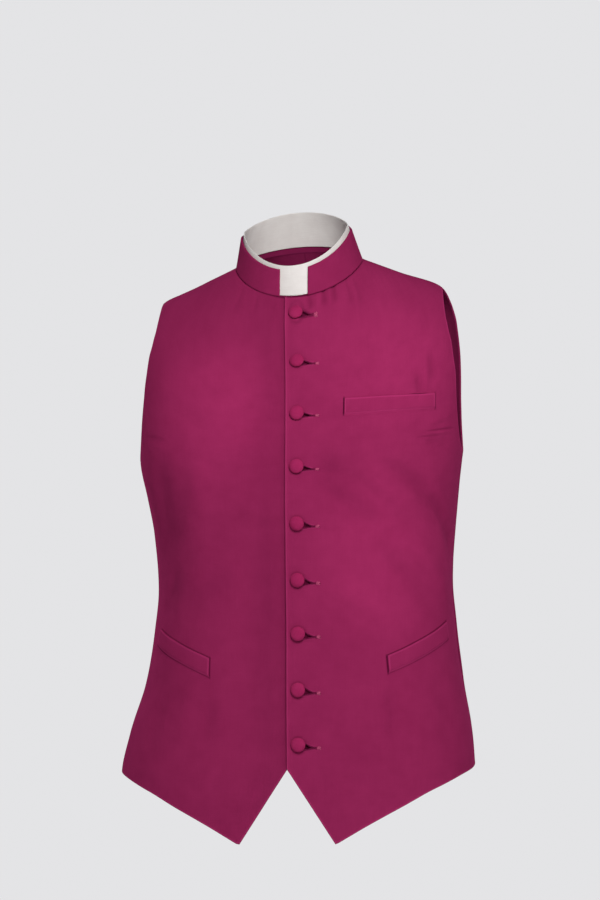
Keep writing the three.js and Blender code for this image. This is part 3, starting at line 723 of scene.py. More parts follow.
def back_half(sign, name):
    count = 34
    base_rows = np.concatenate([
        np.arange(HEM["topOfZone"], -45, 3.2), np.arange(-45, -6, 2.4), [-6, -4.4, -3, -1.8, -1.0, -0.5, -0.15, 0],
    ])
    extra = [UNDERARM, UNDERARM + 0.5, UNDERARM + 1.2, UNDERARM + 2.2, SHOULDER_TIP, SHOULDER_TIP - 0.5, SHOULDER_TIP - 1.2, SHOULDER_TIP - 2.2]
    rows = np.sort(np.concatenate([[r for r in base_rows if min(abs(r - e) for e in extra) > 0.45], extra]))
    near = np.array([0.0, 0.12, 0.4, 0.9, 1.7, 3.0])
    columns = ("side", near), ("share", np.arange(1, count) / count), ("centre", near[::-1])
    kinds = [(k, x) for k, group in columns for x in group]
    n = len(kinds)

    def lengths(v):
        angle = np.where((v > UNDERARM) & (v < SHOULDER_TIP), armhole["backAngle"](np.clip(v, UNDERARM, SHOULDER_TIP)), 90.0)
        r = np.abs(BACK.to_length(180 - sign * angle, v))
        made = np.empty(v.shape)
        for j, (kind, value) in enumerate(kinds):
            if kind == "side":
                made[:, j] = r[:, j] - value
            elif kind == "share":
                made[:, j] = 3.0 + (r[:, j] - 6.0) * (1 - value)
            else:
                made[:, j] = value
        return made

    share = lengths(np.full((1, n), -575.0))[0]
    share = 1 - share / share[0]
    hem = SIDE_HEM_V - HEM["backDip"] * np.sin(math.pi / 2 * share) ** 2
    zone = [hem + q for q in near]
    for w in range(1, 20):
        low = hem + 3.0
        zone.append(low + (HEM["topOfZone"] - low) * w / 20)
    v = np.concatenate([np.array(zone), rows[:, None].repeat(n, 1)])
    s = -sign * lengths(v)
    if sign < 0:
        s, v = s[:, ::-1], v[:, ::-1]
    side, centre = (0, -1) if sign > 0 else (-1, 0)
    obj, outer, nn = panel(
        name, BACK, relief_back, s, v, None,
        free_lines=[bottom_row, between(side, v, UNDERARM, SHOULDER_TIP)],
        seam_lines=[top_row, between(side, v, -999, UNDERARM), between(side, v, SHOULDER_TIP, 0), between(centre, v, -999, 0)],
    )
    return obj


# ------------------------------------------------------------------ collars
def neck_value(up, name):
    k = NECK_COLUMNS.index(name)
    return NECK[0][k] + (NECK[1][k] - NECK[0][k]) * up


def neck(up, angle):
    up, a = np.broadcast_arrays(np.asarray(up, float), np.radians(np.asarray(angle, float)))
    s, c = np.sin(a), np.cos(a)
    front, along = c >= 0, np.abs(c)
    rise = neck_value(up, "up") + NECKBAND["lift"]
    x = neck_value(up, "midX") + neck_value(up, "halfWidth") * s
    y = neck_value(up, "midY") + np.where(front, -neck_value(up, "frontDepth"), neck_value(up, "backDepth")) * along
    z = rise + np.where(front, -neck_value(up, "frontDrop"), neck_value(up, "backRise")) * along**1.3
    return np.stack([x, y, z + neck_value(up, "roll") * x], -1)


def neck_normal(up, angle):
    u = neck(up, angle + 1) - neck(up, angle - 1)
    w = neck(up + 0.05, angle) - neck(up - 0.05, angle)
    return unit(np.cross(u, w))


def neckband():
    high = 36.0
    ups = (graded(high + 0.4, first=(0, 0.12, 0.4, 0.9, 1.7, 3.0), step=2.4) - 0.4) / high
    ends = [
        math.degrees(math.asin((NECKBAND["gapMidX"] + k * NECKBAND["gapWidth"] / 2 - neck_value(ups, "midX")[i]) / neck_value(ups, "halfWidth")[i]))
        for k in (1, -1) for i in range(len(ups))
    ]
    starts, stops = np.array(ends[: len(ups)]), 360 + np.array(ends[len(ups):])
    share = graded(400.0, first=(0, 0.12, 0.4, 0.9, 1.7, 3.0), step=2.6) / 400.0
    angle = starts[:, None] + (stops - starts)[:, None] * share[None, :]
    # the lower edge reaches a little further into the seam at the sides and back
    deeper = 0.7 / high * smooth((np.minimum(angle, 360 - angle) - 60) / 50)
    up = ups[:, None] - deeper * (1 - ups[:, None])
    n = neck_normal(up, angle)
    base = neck(up, angle)
    step = np.linalg.norm(np.diff(base, axis=1), axis=2)
    along = np.concatenate([np.zeros((len(ups), 1)), np.cumsum(step, 1)], 1)
    d = distance_to(base, [base[-1], base[0], base[:, 0], base[:, -1]])
    d[0] = d[-1] = 0
    d[:, 0] = d[:, -1] = 0
    r = NECKBAND["thick"] / 2
    sink = rounding(d, r - 0.05)
    # pressed flat by its stiffening, hardly uneven, with a faint roll along the fold
    h = 0.22 * np.sin(along / 37 + 1.2) * np.sin(up * 3) + 0.14 * np.sin(along / 17 + up * 2.2)
    h = h * smooth(d / 6) + 0.16 * np.exp(-((d - 2.2) / 1.2) ** 2)
    outer = base + n * (h - sink)[..., None]
    inner = base + n * (-NECKBAND["thick"] + sink)[..., None]
    # the band gets a little painted shade all over, so it reads darker than the fronts
    return shell(
        "rabat_neckband", outer, inner, np.stack([along, up * high], -1),
        attrs={"edge": (d * 0 + 99, d), "seam": (d * 0 + up * high, d * 0 + up * high), "shade": (d * 0 + 0.10, d * 0 + 0.10)},
    )


def white_collar():
    high = (WHITE["high"] - WHITE["low"]) * 36
    ups = WHITE["low"] + graded(high, first=(0, 0.1, 0.3, 0.6, 1.2), step=2.6) / 36
    count = 220
    angle = (360 * np.arange(count) / count)[None, :].repeat(len(ups), 0)
    # its lower edge rises a little behind the band, away from the gap in front
    round_from_front = np.minimum(angle, 360 - angle)
    low = WHITE["low"] + 0.11 * smooth((round_from_front - 30) / 40)
    up = WHITE["high"] - (WHITE["high"] - ups[:, None]) * (WHITE["high"] - low) / (WHITE["high"] - WHITE["low"])
    n = neck_normal(up, angle)
    base = neck(up, angle) - n * (NECKBAND["thick"] + WHITE["inset"])
    d = np.minimum(up - low, WHITE["high"] - up) * 36
    sink = rounding(d, WHITE["thick"] / 2 - 0.03)
    h = 0.10 * np.sin(np.radians(angle) * 7 + up * 2) * smooth(d / 5)
    outer = base + n * (h - sink)[..., None]
    inner = base + n * (h - WHITE["thick"] + sink)[..., None]
    along = np.radians(angle) * 66
    return shell("rabat_white_collar", outer, inner, np.stack([along, up * 36], -1), ring=True,
                 attrs={"edge": (d, d), "seam": (d, d)})


# ------------------------------------------------------------------ welts
def welt(name, relief, place, length, height, depths):
    """A folded strip on a front, with a narrow border of painted shadow round it, standing in for the gap of its
    mouth and the shade at its ends.
    place(u, t) gives (s, v); u runs to the wearer's left and t from the seamed lower edge to the open mouth.
    depths gives how dark that painted shadow is at the mouth, the low edge, the right end and the left end."""
    border = np.array([1.9, 1.55, 1.15, 0.75, 0.3])
    us = graded(length, first=(0, 0.1, 0.3, 0.7, 1.3, 2.2), step=2.2)
    us = np.concatenate([-border, us, length + border[::-1]]) / length
    ts = graded(height, first=(0, 0.1, 0.3, 0.7, 1.3, 2.2), step=1.8)
    ts = np.concatenate([-border, ts, height + border[::-1]]) / height
    u, t = np.meshgrid(us, ts)
    beyond = np.stack([(t - 1) * height, -t * height, -u * length, (u - 1) * length])
    outside = np.clip(beyond.max(0), 0, None)
    weight = np.stack([np.broadcast_to(w(u) if callable(w) else w, u.shape) for w in depths])
    band = np.where(beyond > 0, 1.0, np.where(beyond > -0.2, 0.6, 0.0))
    wide = np.array([1.3, 1.2, 1.9, 1.5])[:, None, None]
    # painted shadow in the border, darkest against the welt's edges
    shade = (weight * band * smooth((wide - np.clip(beyond, 0, None)) / 0.8)).max(0) * (outside < 1.85)
    shade = np.where((beyond > 0).sum(0) > 1, shade * 0.5, shade)
    s, v = place(u, t)
    # hand-made: its edges aren't quite straight
    v = v + 0.16 * np.sin(u * 9.0 + length) * (1 - t) + 0.10 * np.sin(u * 14 + 2) * t
    angle = FRONT.to_angle(s, v)
    n = body_normal(v, angle)
    base = body(v, angle) + n * relief(s, v)[..., None]
    du, dt = np.clip(np.minimum(u, 1 - u) * length, 0, None), np.clip(t * height, 0, None)
    mouth = np.clip((1 - t) * height, 0, None)
    r = 0.72
    sink = rounding(np.minimum(du, mouth), r)
    top = WELT["lift"] + WELT["thick"] - 0.1
    # seamed down at the lower edge, tacked at both ends, free along the mouth
    slope = 1.52 * np.exp(-((dt / 1.5) ** 2)) + 0.25 * np.exp(-((du / 1.6) ** 2)) * smooth(mouth / 2)
    gape = 0.30 * smooth(t) * smooth(du / 14) * (0.8 + 0.35 * np.sin(u * 5.0 + height))
    soft = 0.12 * np.sin(u * 11 + t * 3 + length) * smooth(du / 6)
    flat = outside > 0
    high = np.where(flat, 0.16 - 0.07 * outside, top + gape + soft - sink - slope)
    low = np.where(flat, -0.5, np.minimum(WELT["lift"] - 0.1 + gape + np.minimum(sink, 0.66), high - 0.08))
    outer, inner = base + n * high[..., None], base + n * low[..., None]
    # the welt's edges take the paler edge colour, partly a painted highlight
    rim = np.where(flat, 99.0, np.minimum(np.minimum(du, mouth), dt))
    return shell(name, outer, inner, np.stack([s, v], -1),
                 attrs={"edge": (rim * 1.1, rim * 1.1), "seam": (rim * 0 + 99,) * 2, "shade": (shade, shade)})


def chest_place(u, t):
    w = CHEST_WELT
    x = w["innerX"] + (w["outerX"] - w["innerX"]) * u
    low = w["innerLow"] + (w["outerLow"] - w["innerLow"]) * u
    top = w["innerTop"] + (w["outerTop"] - w["innerTop"]) * u
    v, angle = on_front(x, low + (top - low) * t)
    return FRONT.to_length(angle, v), v


def hip_place(row):
    inner, outer = row["inner"], row["outer"]
    sign = math.copysign(1, outer["x"])
    ends = [float(FRONT.to_length(angle_at_x(e["top"], e["x"]), e["top"])) for e in (inner, outer)]

    def place(u, t):
        k = u if sign > 0 else 1 - u
        mix = lambda a, b: a + (b - a) * k
        v = mix(inner["top"], outer["top"]) - (1 - t) * mix(inner["height"], outer["height"])
        return mix(*ends) + sign * (1 - t) * mix(inner["lean"], outer["lean"]), v

    return place


# ------------------------------------------------------------------ buttons
def front_frame(x, z):
    """Frame on the front: x along the buttonhole, y up, z out of the cloth."""
    v, angle = on_front(x, z)
    out = body_normal(v, angle)
    p = body(v, angle)
    along = unit(np.array([1.0, 0, 0]) - out * out[0])
    return p, along, np.cross(out, along), out


def button(index, x, z):
    p, along, up, out = front_frame(x, z - BUTTON["aboveHole"])
    rng = np.random.default_rng(100 + index)
    R, H, base = BUTTON["radius"], BUTTON["dome"], BUTTON["lift"]
    turns = 64
    # the hole's pull lifts the side away from the closing edge
    tilt, lean = rng.uniform(-0.025, 0.025, 2) + (0.075, 0.0)
    phase = rng.uniform(0, 6.28, 4)
    profile = [(0.02, 0.25), (0.35, 0.12), (0.62, 0.0), (0.80, 0.02), (0.90, 0.18), (0.965, 0.5), (1.0, 0.98), (0.998, 1.45)]
    for k in range(1, 15):
        a = math.pi / 2 * k / 15
        profile.append((math.cos(a) ** 0.88, 1.45 + (H - 1.45) * math.sin(a) ** 1.04))
    a = np.arange(turns) * 2 * math.pi / turns
    rings, uvs = [], []
    for r, h in profile:
        wave = 0.5 + 0.5 * np.cos(11 * a + phase[0] + 1.6 * np.sin(a + phase[1]))
        under = np.exp(-((h - 0.35) / 0.75) ** 2)
        rad = R * r * (1 - 0.030 * wave * under * (r > 0.3)) * (1 + 0.006 * np.cos(2 * a + phase[2]))
        hh = base + h - 0.10 * wave * under * (r > 0.3) + 0.05 * np.cos(3 * a + phase[3]) * r * (h > 1)
        rings.append(np.stack([rad * np.cos(a), rad * np.sin(a), np.broadcast_to(hh, a.shape)], -1))
        uvs.append(np.stack([rad * np.cos(a) * 1.05, rad * np.sin(a) * 1.05 + 40 * index], -1))
    verts = [np.concatenate(rings)]
    uv = [np.concatenate(uvs)]
    n = len(profile)
    faces = []
    for i in range(n - 1):
        for j in range(turns):
            k = (j + 1) % turns
            faces.append((i * turns + j, i * turns + k, (i + 1) * turns + k, (i + 1) * turns + j))
    faces.append(tuple(range(turns))[::-1])
    top = n * turns
    verts.append(np.array([[0, 0, base + H]]))
    uv.append(np.array([[0, 40.0 * index]]))
    for j in range(turns):
        faces.append(((n - 1) * turns + j, (n - 1) * turns + (j + 1) % turns, top))
    dome = np.concatenate(verts)
    dome[:, 2] += dome[:, 0] * tilt + dome[:, 1] * lean
    dome[:, 1] += BUTTON["aboveHole"]
    uv = np.concatenate(uv)
    # shank of wound thread, down to just above the front below
    sides, levels = 16, 22
    z0, z1 = SHANK["clear"] - CLOTH, base + 0.6
    b = np.arange(sides) * 2 * math.pi / sides
    start = len(dome)
    shank = []
    for i in range(levels + 1):
        t = i / levels
        r = SHANK["radius"] * (1 + 0.12 * math.cos(2 * math.pi * t * 6) + 0.35 * (2 * t - 1) ** 4)
        shank.append(np.stack([r * np.cos(b), r * np.sin(b), np.full(sides, z0 + (z1 - z0) * t)], -1))
    shank = np.concatenate(shank)
    for i in range(levels):
        for j in range(sides):
            k = (j + 1) % sides
            faces.append((start + i * sides + j, start + i * sides + k, start + (i + 1) * sides + k, start + (i + 1) * sides + j))
    faces.append(tuple(start + j for j in range(sides))[::-1])
    faces.append(tuple(start + levels * sides + j for j in range(sides)))
    local = np.concatenate([dome, shank])
    world = p + local[:, :1] * along + local[:, 1:2] * up + local[:, 2:] * out
    uv = np.concatenate([uv, shank[:, :2] + [0, 40.0 * index + 12]])
    rim = np.concatenate([np.clip((dome[:, 2] - base) / H, 0, 1), np.zeros(len(shank))])
    return new_object(f"rabat_button_{index + 1}", world, faces, uv, {"dome": rim})


# ------------------------------------------------------------------ stitches
class Threads:
    """Short round threads, gathered into one mesh."""

    def __init__(self, sides=6):
        self.verts, self.faces, self.uvs, self.sides, self.count = [], [], [], sides, 0

    def add(self, points, radius):
        points = np.asarray(points, float)
        n, m = len(points), self.sides
        radius = np.broadcast_to(radius, (n,))
        tangent = unit(np.gradient(points, axis=0))
        helper = np.array([0.1, -1.0, 0.2])
        e1 = unit(np.cross(tangent, helper))
        e2 = np.cross(tangent, e1)
        a = np.arange(m) * 2 * math.pi / m
        rings = points[:, None] + radius[:, None, None] * (np.cos(a)[None, :, None] * e1[:, None] + np.sin(a)[None, :, None] * e2[:, None])
        run = np.concatenate([[0], np.cumsum(np.linalg.norm(np.diff(points, axis=0), axis=1))])
        c = self.count
        self.verts.append(rings.reshape(-1, 3))
        self.uvs.append(np.stack([np.repeat(run, m), np.tile(a, n)], -1))
        for i in range(n - 1):
            for j in range(m):
                k = (j + 1) % m
                self.faces.append((c + i * m + j, c + i * m + k, c + (i + 1) * m + k, c + (i + 1) * m + j))
        self.faces.append(tuple(c + j for j in range(m))[::-1])
        self.faces.append(tuple(c + (n - 1) * m + j for j in range(m)))
        self.count += n * m

    def object(self, name):
        return new_object(name, np.concatenate(self.verts), self.faces, np.concatenate(self.uvs), {})


def buttonhole_stitches():
    """Purl stitches along both lips and a fan of stitches and a bar at the far end of every buttonhole."""
    purl, tack = Threads(), Threads()
    for k, (hv, hs, pulled) in enumerate(HOLE_V):
        rng = np.random.default_rng(500 + k)

        def at(along, off, high):
            s = hs + np.asarray(along, float)
            v = level(s, hv + np.asarray(off, float))
            p, n = cloth_point(FRONT, relief_front_left, s, v, 0.0)
            return p + n * np.asarray(high, float)[..., None]

        for side in (-1, 1):
            along = SLIT_FROM + 0.4
            while along < SLIT_TO + 1.2:
                j = rng.uniform(-0.05, 0.05)
                half = float(lip_half(along, side, pulled)) if along < SLIT_TO else 0.06
                reach = 1.45 + rng.uniform(-0.14, 0.14)
                off = side * (half + np.array([-0.16, 0.05, 0.55, 1.1, reach]))
                purl.add(at(along + np.array([0, 0, 0.02, 0.05, 0.08]) + j, off, np.array([-0.45, 0.0, 0.12, 0.10, -0.08])),
                         0.17 * np.array([0.9, 1.05, 1.0, 0.9, 0.6]))
                along += 0.46 + rng.uniform(-0.03, 0.03)
            # the cord of knots on the lip
            run = np.linspace(SLIT_FROM + 0.3, SLIT_TO + 0.6, 140)
            half = np.where(run < SLIT_TO, lip_half(run, side, pulled), 0.06)
            purl.add(at(run, side * (half + 0.04), -0.05 + 0.05 * np.cos(run * 2 * math.pi / 0.46)),
                     0.17 * (1 + 0.22 * np.cos(run * 2 * math.pi / 0.46)))
        # fan round the far end
        end = SLIT_TO + 1.4
        for q in np.linspace(-1.35, 1.35, 9):
            inner = np.array([end + 0.2 * math.cos(q), 0.25 * math.sin(q)])
            far = np.array([end + (2.6 + rng.uniform(-0.2, 0.3)) * math.cos(q), 1.7 * math.sin(q)])
            t = np.linspace(0, 1, 5)
            pts = inner + (far - inner) * t[:, None]
            tack.add(at(pts[:, 0], pts[:, 1], np.array([0.0, 0.28, 0.34, 0.26, -0.05])), 0.26)
        # the bar: loose long stitches, a little uneven, with the thread's end
        for q in range(8):
            a0 = end + 2.0 + rng.uniform(-0.5, 0.8)
            lean = rng.uniform(-0.8, 0.8)
            t = np.linspace(-1, 1, 7)
            high = 0.55 * (1 - t**4) + rng.uniform(-0.05, 0.12) - 0.12
            tack.add(at(a0 + lean * 0.5 * t + q * 0.22 - 0.6, 1.75 * t + rng.uniform(-0.25, 0.25), high), 0.27)
        for q in (-1, -0.5, 0.6, 1):
            t = np.linspace(0, 1, 6)
            tack.add(at(end + 0.8 + (4.2 - abs(q)) * t, q * (0.4 + 1.15 * t) + rng.uniform(-0.12, 0.12), 0.46 * np.sin(math.pi * t) + 0.14 - 0.2 * t), 0.28)
        # the knot between their ends
        t = np.linspace(-1, 1, 5)
        purl.add(at(end + 4.0 + 0.5 * t, -0.35 + 0.25 * t, 0.22 - 0.25 * t * t), 0.42)
    return purl.object("rabat_buttonhole_purl"), tack.object("rabat_buttonhole_tack")


# ------------------------------------------------------------------ make it
front_left, fl_s, fl_v, fl_lips, _, _ = front(1, "rabat_front_left", relief_front_left)
front_right, *_ = front(-1, "rabat_front_right", relief_front_right)
back_left = back_half(1, "rabat_back_left")
back_right = back_half(-1, "rabat_back_right")
band = neckband()
white = white_collar()
chest = welt(
    "rabat_chest_welt", relief_front_left, chest_place, 104.0, 18.0,
    (lambda u: 0.05 + 0.90 * smooth((u - 0.68) / 0.1) * smooth((0.97 - u) / 0.12), 0.0, 1.0, 0.75),
)
hips = {
    row["name"]: welt(
        "rabat_" + row["name"], relief_front_left if row["inner"]["x"] > 0 else relief_front_right, hip_place(row), 78.0, 19.0,
        (0.85, 0.60, 0.95, 0.30) if row["inner"]["x"] > 0 else (0.85, 0.75, 0.30, 0.95),
    )
    for row in HIP_WELTS
}
buttons = [button(k, x, z) for k, (x, z) in enumerate(BUTTON_ROWS)]
purl, tack = buttonhole_stitches()

# ------------------------------------------------------------------ materials
LINEAR = lambda r, g, b: tuple(
    (c / 255 / 12.92 if c / 255 <= 0.04045 else ((c / 255 + 0.055) / 1.055) ** 2.4) for c in (r, g, b)
) + (1.0,)


class Nodes:
    """A small helper for building a material's node tree."""

    def __init__(self, name):
        self.material = bpy.data.materials.new(name)
        self.material.use_nodes = True
        self.tree = self.material.node_tree
        self.tree.nodes.clear()

    def add(self, kind, inputs=(), **settings):
        node = self.tree.nodes.new(kind)
        for key, value in settings.items():
            setattr(node, key, value)
        for key, value in dict(inputs).items():
            socket = node.inputs[key]
            if isinstance(value, bpy.types.NodeSocket):
                self.tree.links.new(value, socket)
            else:
                socket.default_value = value
        return node

    def math(self, operation, a, b=0.0, c=None, clamp=False):
        inputs = {0: a, 1: b}
        if c is not None:
            inputs[2] = c
        return self.add("ShaderNodeMath", inputs, operation=operation, use_clamp=clamp).outputs[0]

    def ramp(self, factor, stops):
        node = self.add("ShaderNodeValToRGB", {"Fac": factor})
        ramp = node.color_ramp
        while len(ramp.elements) > 1:
            ramp.elements.remove(ramp.elements[-1])
        ramp.elements[0].position, ramp.elements[0].color = stops[0]
        for position, colour in stops[1:]:
            ramp.elements.new(position).color = colour
        return node.outputs["Color"]

    def mix(self, kind, factor, a, b):
        node = self.add("ShaderNodeMix", {"Factor": factor}, data_type="RGBA", blend_type=kind)
        for key, value in (("A", a), ("B", b)):
            socket = [x for x in node.inputs if x.name == key and x.type == "RGBA"][0]
            if isinstance(value, bpy.types.NodeSocket):
                self.tree.links.new(value, socket)
            else:
                socket.default_value = value
        return [x for x in node.outputs if x.type == "RGBA"][0]

    def noise(self, vector, scale, detail=3.0, rough=0.5, stretch=None):
        if stretch:
            vector = self.add("ShaderNodeMapping", {"Vector": vector, "Scale": stretch}).outputs[0]
        return self.add("ShaderNodeTexNoise", {"Vector": vector, "Scale": scale, "Detail": detail, "Roughness": rough}).outputs["Fac"]

    def finish(self, shader):
        out = self.add("ShaderNodeOutputMaterial")
        self.tree.links.new(shader.outputs[0], out.inputs["Surface"])
        return self.material


# paler pressed edges: partly wear, partly a painted highlight
EDGE_WEAR_AND_HIGHLIGHT = 0.62  # how far the colour of a pressed edge turns paler


def twill(name, deep, middle, light, weave=0.8, turn=0.0, button=False):
    """Fine wool and silk twill in clerical purple: warp streaks, diagonal ribs painted a little lighter as if
    catching light, faint mottling, paler edges that are partly wear and partly a painted highlight, and painted shade
    in seams, troughs of folds, round buttons and welts and under the lap.
    """
    N = Nodes(name)
    uv = N.add("ShaderNodeTexCoord").outputs["UV"]
    uv = N.add("ShaderNodeMapping", {"Vector": uv, "Scale": (1000, 1000, 1000), "Rotation": (0, 0, turn)}).outputs[0]
    part = N.add("ShaderNodeSeparateXYZ", {0: uv})
    x, y = part.outputs[0], part.outputs[1]
    # diagonal ribs of the twill, and the threads across them
    k = 2 * math.pi / weave
    wobble = N.math("MULTIPLY", N.noise(uv, 0.11, 2.0), 1.6)
    diagonal = N.math("ADD", N.math("MULTIPLY", N.math("ADD", x, N.math("MULTIPLY", y, 0.8)), k), wobble)
    rib = N.math("MULTIPLY_ADD", N.math("SINE", diagonal), 0.5, 0.5)
    across = N.math("MULTIPLY_ADD", N.math("SINE", N.math("MULTIPLY", N.math("SUBTRACT", x, N.math("MULTIPLY", y, 0.35)), 2.1 * k)), 0.5, 0.5)
    fuzz = N.noise(uv, 2.6, 4.0, 0.65)
    # warp streaks, mottling and pressing marks
    streak = N.noise(uv, 1.0, 3.0, 0.6, (1.1, 0.028, 1.0))
    cross = N.noise(uv, 1.0, 3.0, 0.6, (0.05, 0.9, 1.0))
    mottle = N.noise(uv, 0.055, 4.0, 0.55)
    cloud = N.noise(uv, 0.012, 3.0, 0.5)
    tone = N.math("ADD", N.math("MULTIPLY", mottle, 0.34), N.math("MULTIPLY", cloud, 0.30))
    tone = N.math("ADD", tone, N.math("MULTIPLY", streak, 0.22))
    tone = N.math("ADD", tone, N.math("MULTIPLY", cross, 0.14))
    colour = N.ramp(tone, [(0.30, deep), (0.5, middle), (0.72, light)])
    # painted highlight: the ribs are coloured a little lighter than the lines between them, as if they catch more
    # light, mixed with random fuzz in the tone
    rib_highlight_and_fuzz = N.math("ADD", N.math("MULTIPLY", rib, 0.6), N.math("MULTIPLY", fuzz, 0.4))
    colour = N.mix("MULTIPLY", 0.55, colour, N.ramp(rib_highlight_and_fuzz, [(0.2, (0.80, 0.72, 0.80, 1)), (0.8, (1.08, 1.08, 1.08, 1))]))
    rough = N.math("MULTIPLY_ADD", N.math("ADD", mottle, fuzz), 0.10, 0.44)
    height = N.math("ADD", N.math("MULTIPLY", rib, 0.62), N.math("MULTIPLY", across, 0.22))
    height = N.math("ADD", height, N.math("MULTIPLY", fuzz, 0.42))
    if not button:
        edge = N.add("ShaderNodeAttribute", attribute_name="edge").outputs["Fac"]
        seam = N.add("ShaderNodeAttribute", attribute_name="seam").outputs["Fac"]
        inner = N.add("ShaderNodeAttribute", attribute_name="inner").outputs["Fac"]
        under = N.add("ShaderNodeAttribute", attribute_name="under").outputs["Fac"]
        shade = N.add("ShaderNodeAttribute", attribute_name="shade").outputs["Fac"]
        # paler towards the free edges, peaking a little in from them: partly wear, partly a painted highlight along
        # the rolled edge
        near = N.math("SUBTRACT", 1.0, N.math("DIVIDE", N.math("ABSOLUTE", N.math("SUBTRACT", edge, 1.25)), 1.25), clamp=True)
        near = N.math("MULTIPLY", near, N.math("MULTIPLY_ADD", fuzz, 0.5, 0.6))
        colour = N.mix("MIX", N.math("MULTIPLY", near, EDGE_WEAR_AND_HIGHLIGHT), colour, LINEAR(192, 58, 118))
        # painted shade in the ditch of each seam, darkest on the seam line
        seam_ditch_shade = N.math("SUBTRACT", 1.0, N.math("DIVIDE", seam, 1.3), clamp=True)
        colour = N.mix("MULTIPLY", N.math("MULTIPLY", seam_ditch_shade, 0.50), colour, (0.46, 0.36, 0.46, 1))
        colour = N.mix("MULTIPLY", N.math("MULTIPLY", inner, 0.8), colour, (0.62, 0.60, 0.66, 1))
        # painted shade on the lap covered by the other front, and a painted soft shadow beside that front's edge
        colour = N.mix("MULTIPLY", under, colour, (0.36, 0.30, 0.36, 1))
        # painted shade: round the buttons and in their holes, in the troughs of folds, round the welts, and a little
        # over the whole neckband
        colour = N.mix("MULTIPLY", shade, colour, (0.30, 0.22, 0.30, 1))
    bump = N.add("ShaderNodeBump", {"Height": height, "Strength": 0.55, "Distance": 0.00009})
    puffs = N.math("ADD", N.noise(uv, 0.09, 4.0, 0.55), N.math("MULTIPLY", streak, 0.35))
    bump = N.add("ShaderNodeBump", {"Height": puffs, "Strength": 0.5, "Distance": 0.0004, "Normal": bump.outputs[0]})
    shader = N.add("ShaderNodeBsdfPrincipled", {"Base Color": colour, "Roughness": rough, "Normal": bump.outputs[0]})
    shader.inputs["Specular IOR Level"].default_value = 0.0
    shader.inputs["Sheen Weight"].default_value = 0.13
    shader.inputs["Sheen Roughness"].default_value = 0.45
    shader.inputs["Sheen Tint"].default_value = LINEAR(240, 90, 160)
    return N.finish(shader)


def linen(name):
    """Starched white collar: smooth, faint plain weave, slightly warm, soft grey where it was handled."""
    N = Nodes(name)
    uv = N.add("ShaderNodeTexCoord").outputs["UV"]
    uv = N.add("ShaderNodeMapping", {"Vector": uv, "Scale": (1000, 1000, 1000)}).outputs[0]
    part = N.add("ShaderNodeSeparateXYZ", {0: uv})
    k = 2 * math.pi / 0.42
    warp = N.math("SINE", N.math("MULTIPLY", part.outputs[0], k))
    weft = N.math("SINE", N.math("MULTIPLY", part.outputs[1], k))
    weave = N.math("MULTIPLY_ADD", N.math("MULTIPLY", warp, weft), 0.5, 0.5)
    slub = N.noise(uv, 1.0, 3.0, 0.6, (0.06, 1.6, 1.0))
    cloud = N.noise(uv, 0.07, 4.0, 0.5)
    tone = N.math("ADD", N.math("MULTIPLY", cloud, 0.6), N.math("MULTIPLY", slub, 0.4))
    colour = N.ramp(tone, [(0.32, LINEAR(227, 221, 218)), (0.5, LINEAR(233, 228, 225)), (0.7, LINEAR(239, 235, 232))])
    colour = N.mix("MULTIPLY", 0.25, colour, N.ramp(weave, [(0.2, (0.90, 0.90, 0.90, 1)), (0.8, (1.03, 1.03, 1.03, 1))]))
    height = N.math("ADD", N.math("MULTIPLY", weave, 0.6), N.math("MULTIPLY", slub, 0.4))
    bump = N.add("ShaderNodeBump", {"Height": height, "Strength": 0.35, "Distance": 0.00005})
    rough = N.math("MULTIPLY_ADD", cloud, 0.16, 0.36)
    shader = N.add("ShaderNodeBsdfPrincipled", {"Base Color": colour, "Roughness": rough, "Normal": bump.outputs[0]})
    shader.inputs["Specular IOR Level"].default_value = 0.25
    shader.inputs["Subsurface Weight"].default_value = 0.0
    shader.inputs["Sheen Weight"].default_value = 0.08
    return N.finish(shader)


def thread(name, deep, light, sheen):
    """Twisted buttonhole silk, glossier than the cloth, between the two colours it is given: paler than the cloth for
    the bar tacks, darker for the purl, where the darkness is painted shade.
    """
    N = Nodes(name)
    uv = N.add("ShaderNodeTexCoord").outputs["UV"]
    uv = N.add("ShaderNodeMapping", {"Vector": uv, "Scale": (1000, 1000, 1000)}).outputs[0]
    part = N.add("ShaderNodeSeparateXYZ", {0: uv})
    twist = N.math("SINE", N.math("ADD", N.math("MULTIPLY", part.outputs[0], 14.0), part.outputs[1]))
    twist = N.math("MULTIPLY_ADD", twist, 0.5, 0.5)
    vary = N.noise(uv, 0.6, 2.0)
    tone = N.math("ADD", N.math("MULTIPLY", twist, 0.5), N.math("MULTIPLY", vary, 0.5))
    colour = N.ramp(tone, [(0.25, deep), (0.75, light)])
    bump = N.add("ShaderNodeBump", {"Height": twist, "Strength": 0.4, "Distance": 0.00005})
    rough = N.math("MULTIPLY_ADD", vary, 0.15, 0.45)
    shader = N.add("ShaderNodeBsdfPrincipled", {"Base Color": colour, "Roughness": rough, "Normal": bump.outputs[0]})
    shader.inputs["Specular IOR Level"].default_value = 0.08
    shader.inputs["Sheen Weight"].default_value = sheen
    shader.inputs["Sheen Tint"].default_value = LINEAR(250, 120, 180)
    return N.finish(shader)


DEEP, MIDDLE, LIGHT = LINEAR(148, 37, 85), LINEAR(158, 42, 92), LINEAR(168, 47, 99)
cloth_material = twill("rabat_twill", DEEP, MIDDLE, LIGHT)
button_material = twill("rabat_button_twill", LINEAR(156, 34, 83), LINEAR(170, 42, 95), LINEAR(184, 52, 107), turn=0.4, button=True)
white_material = linen("collar_linen")
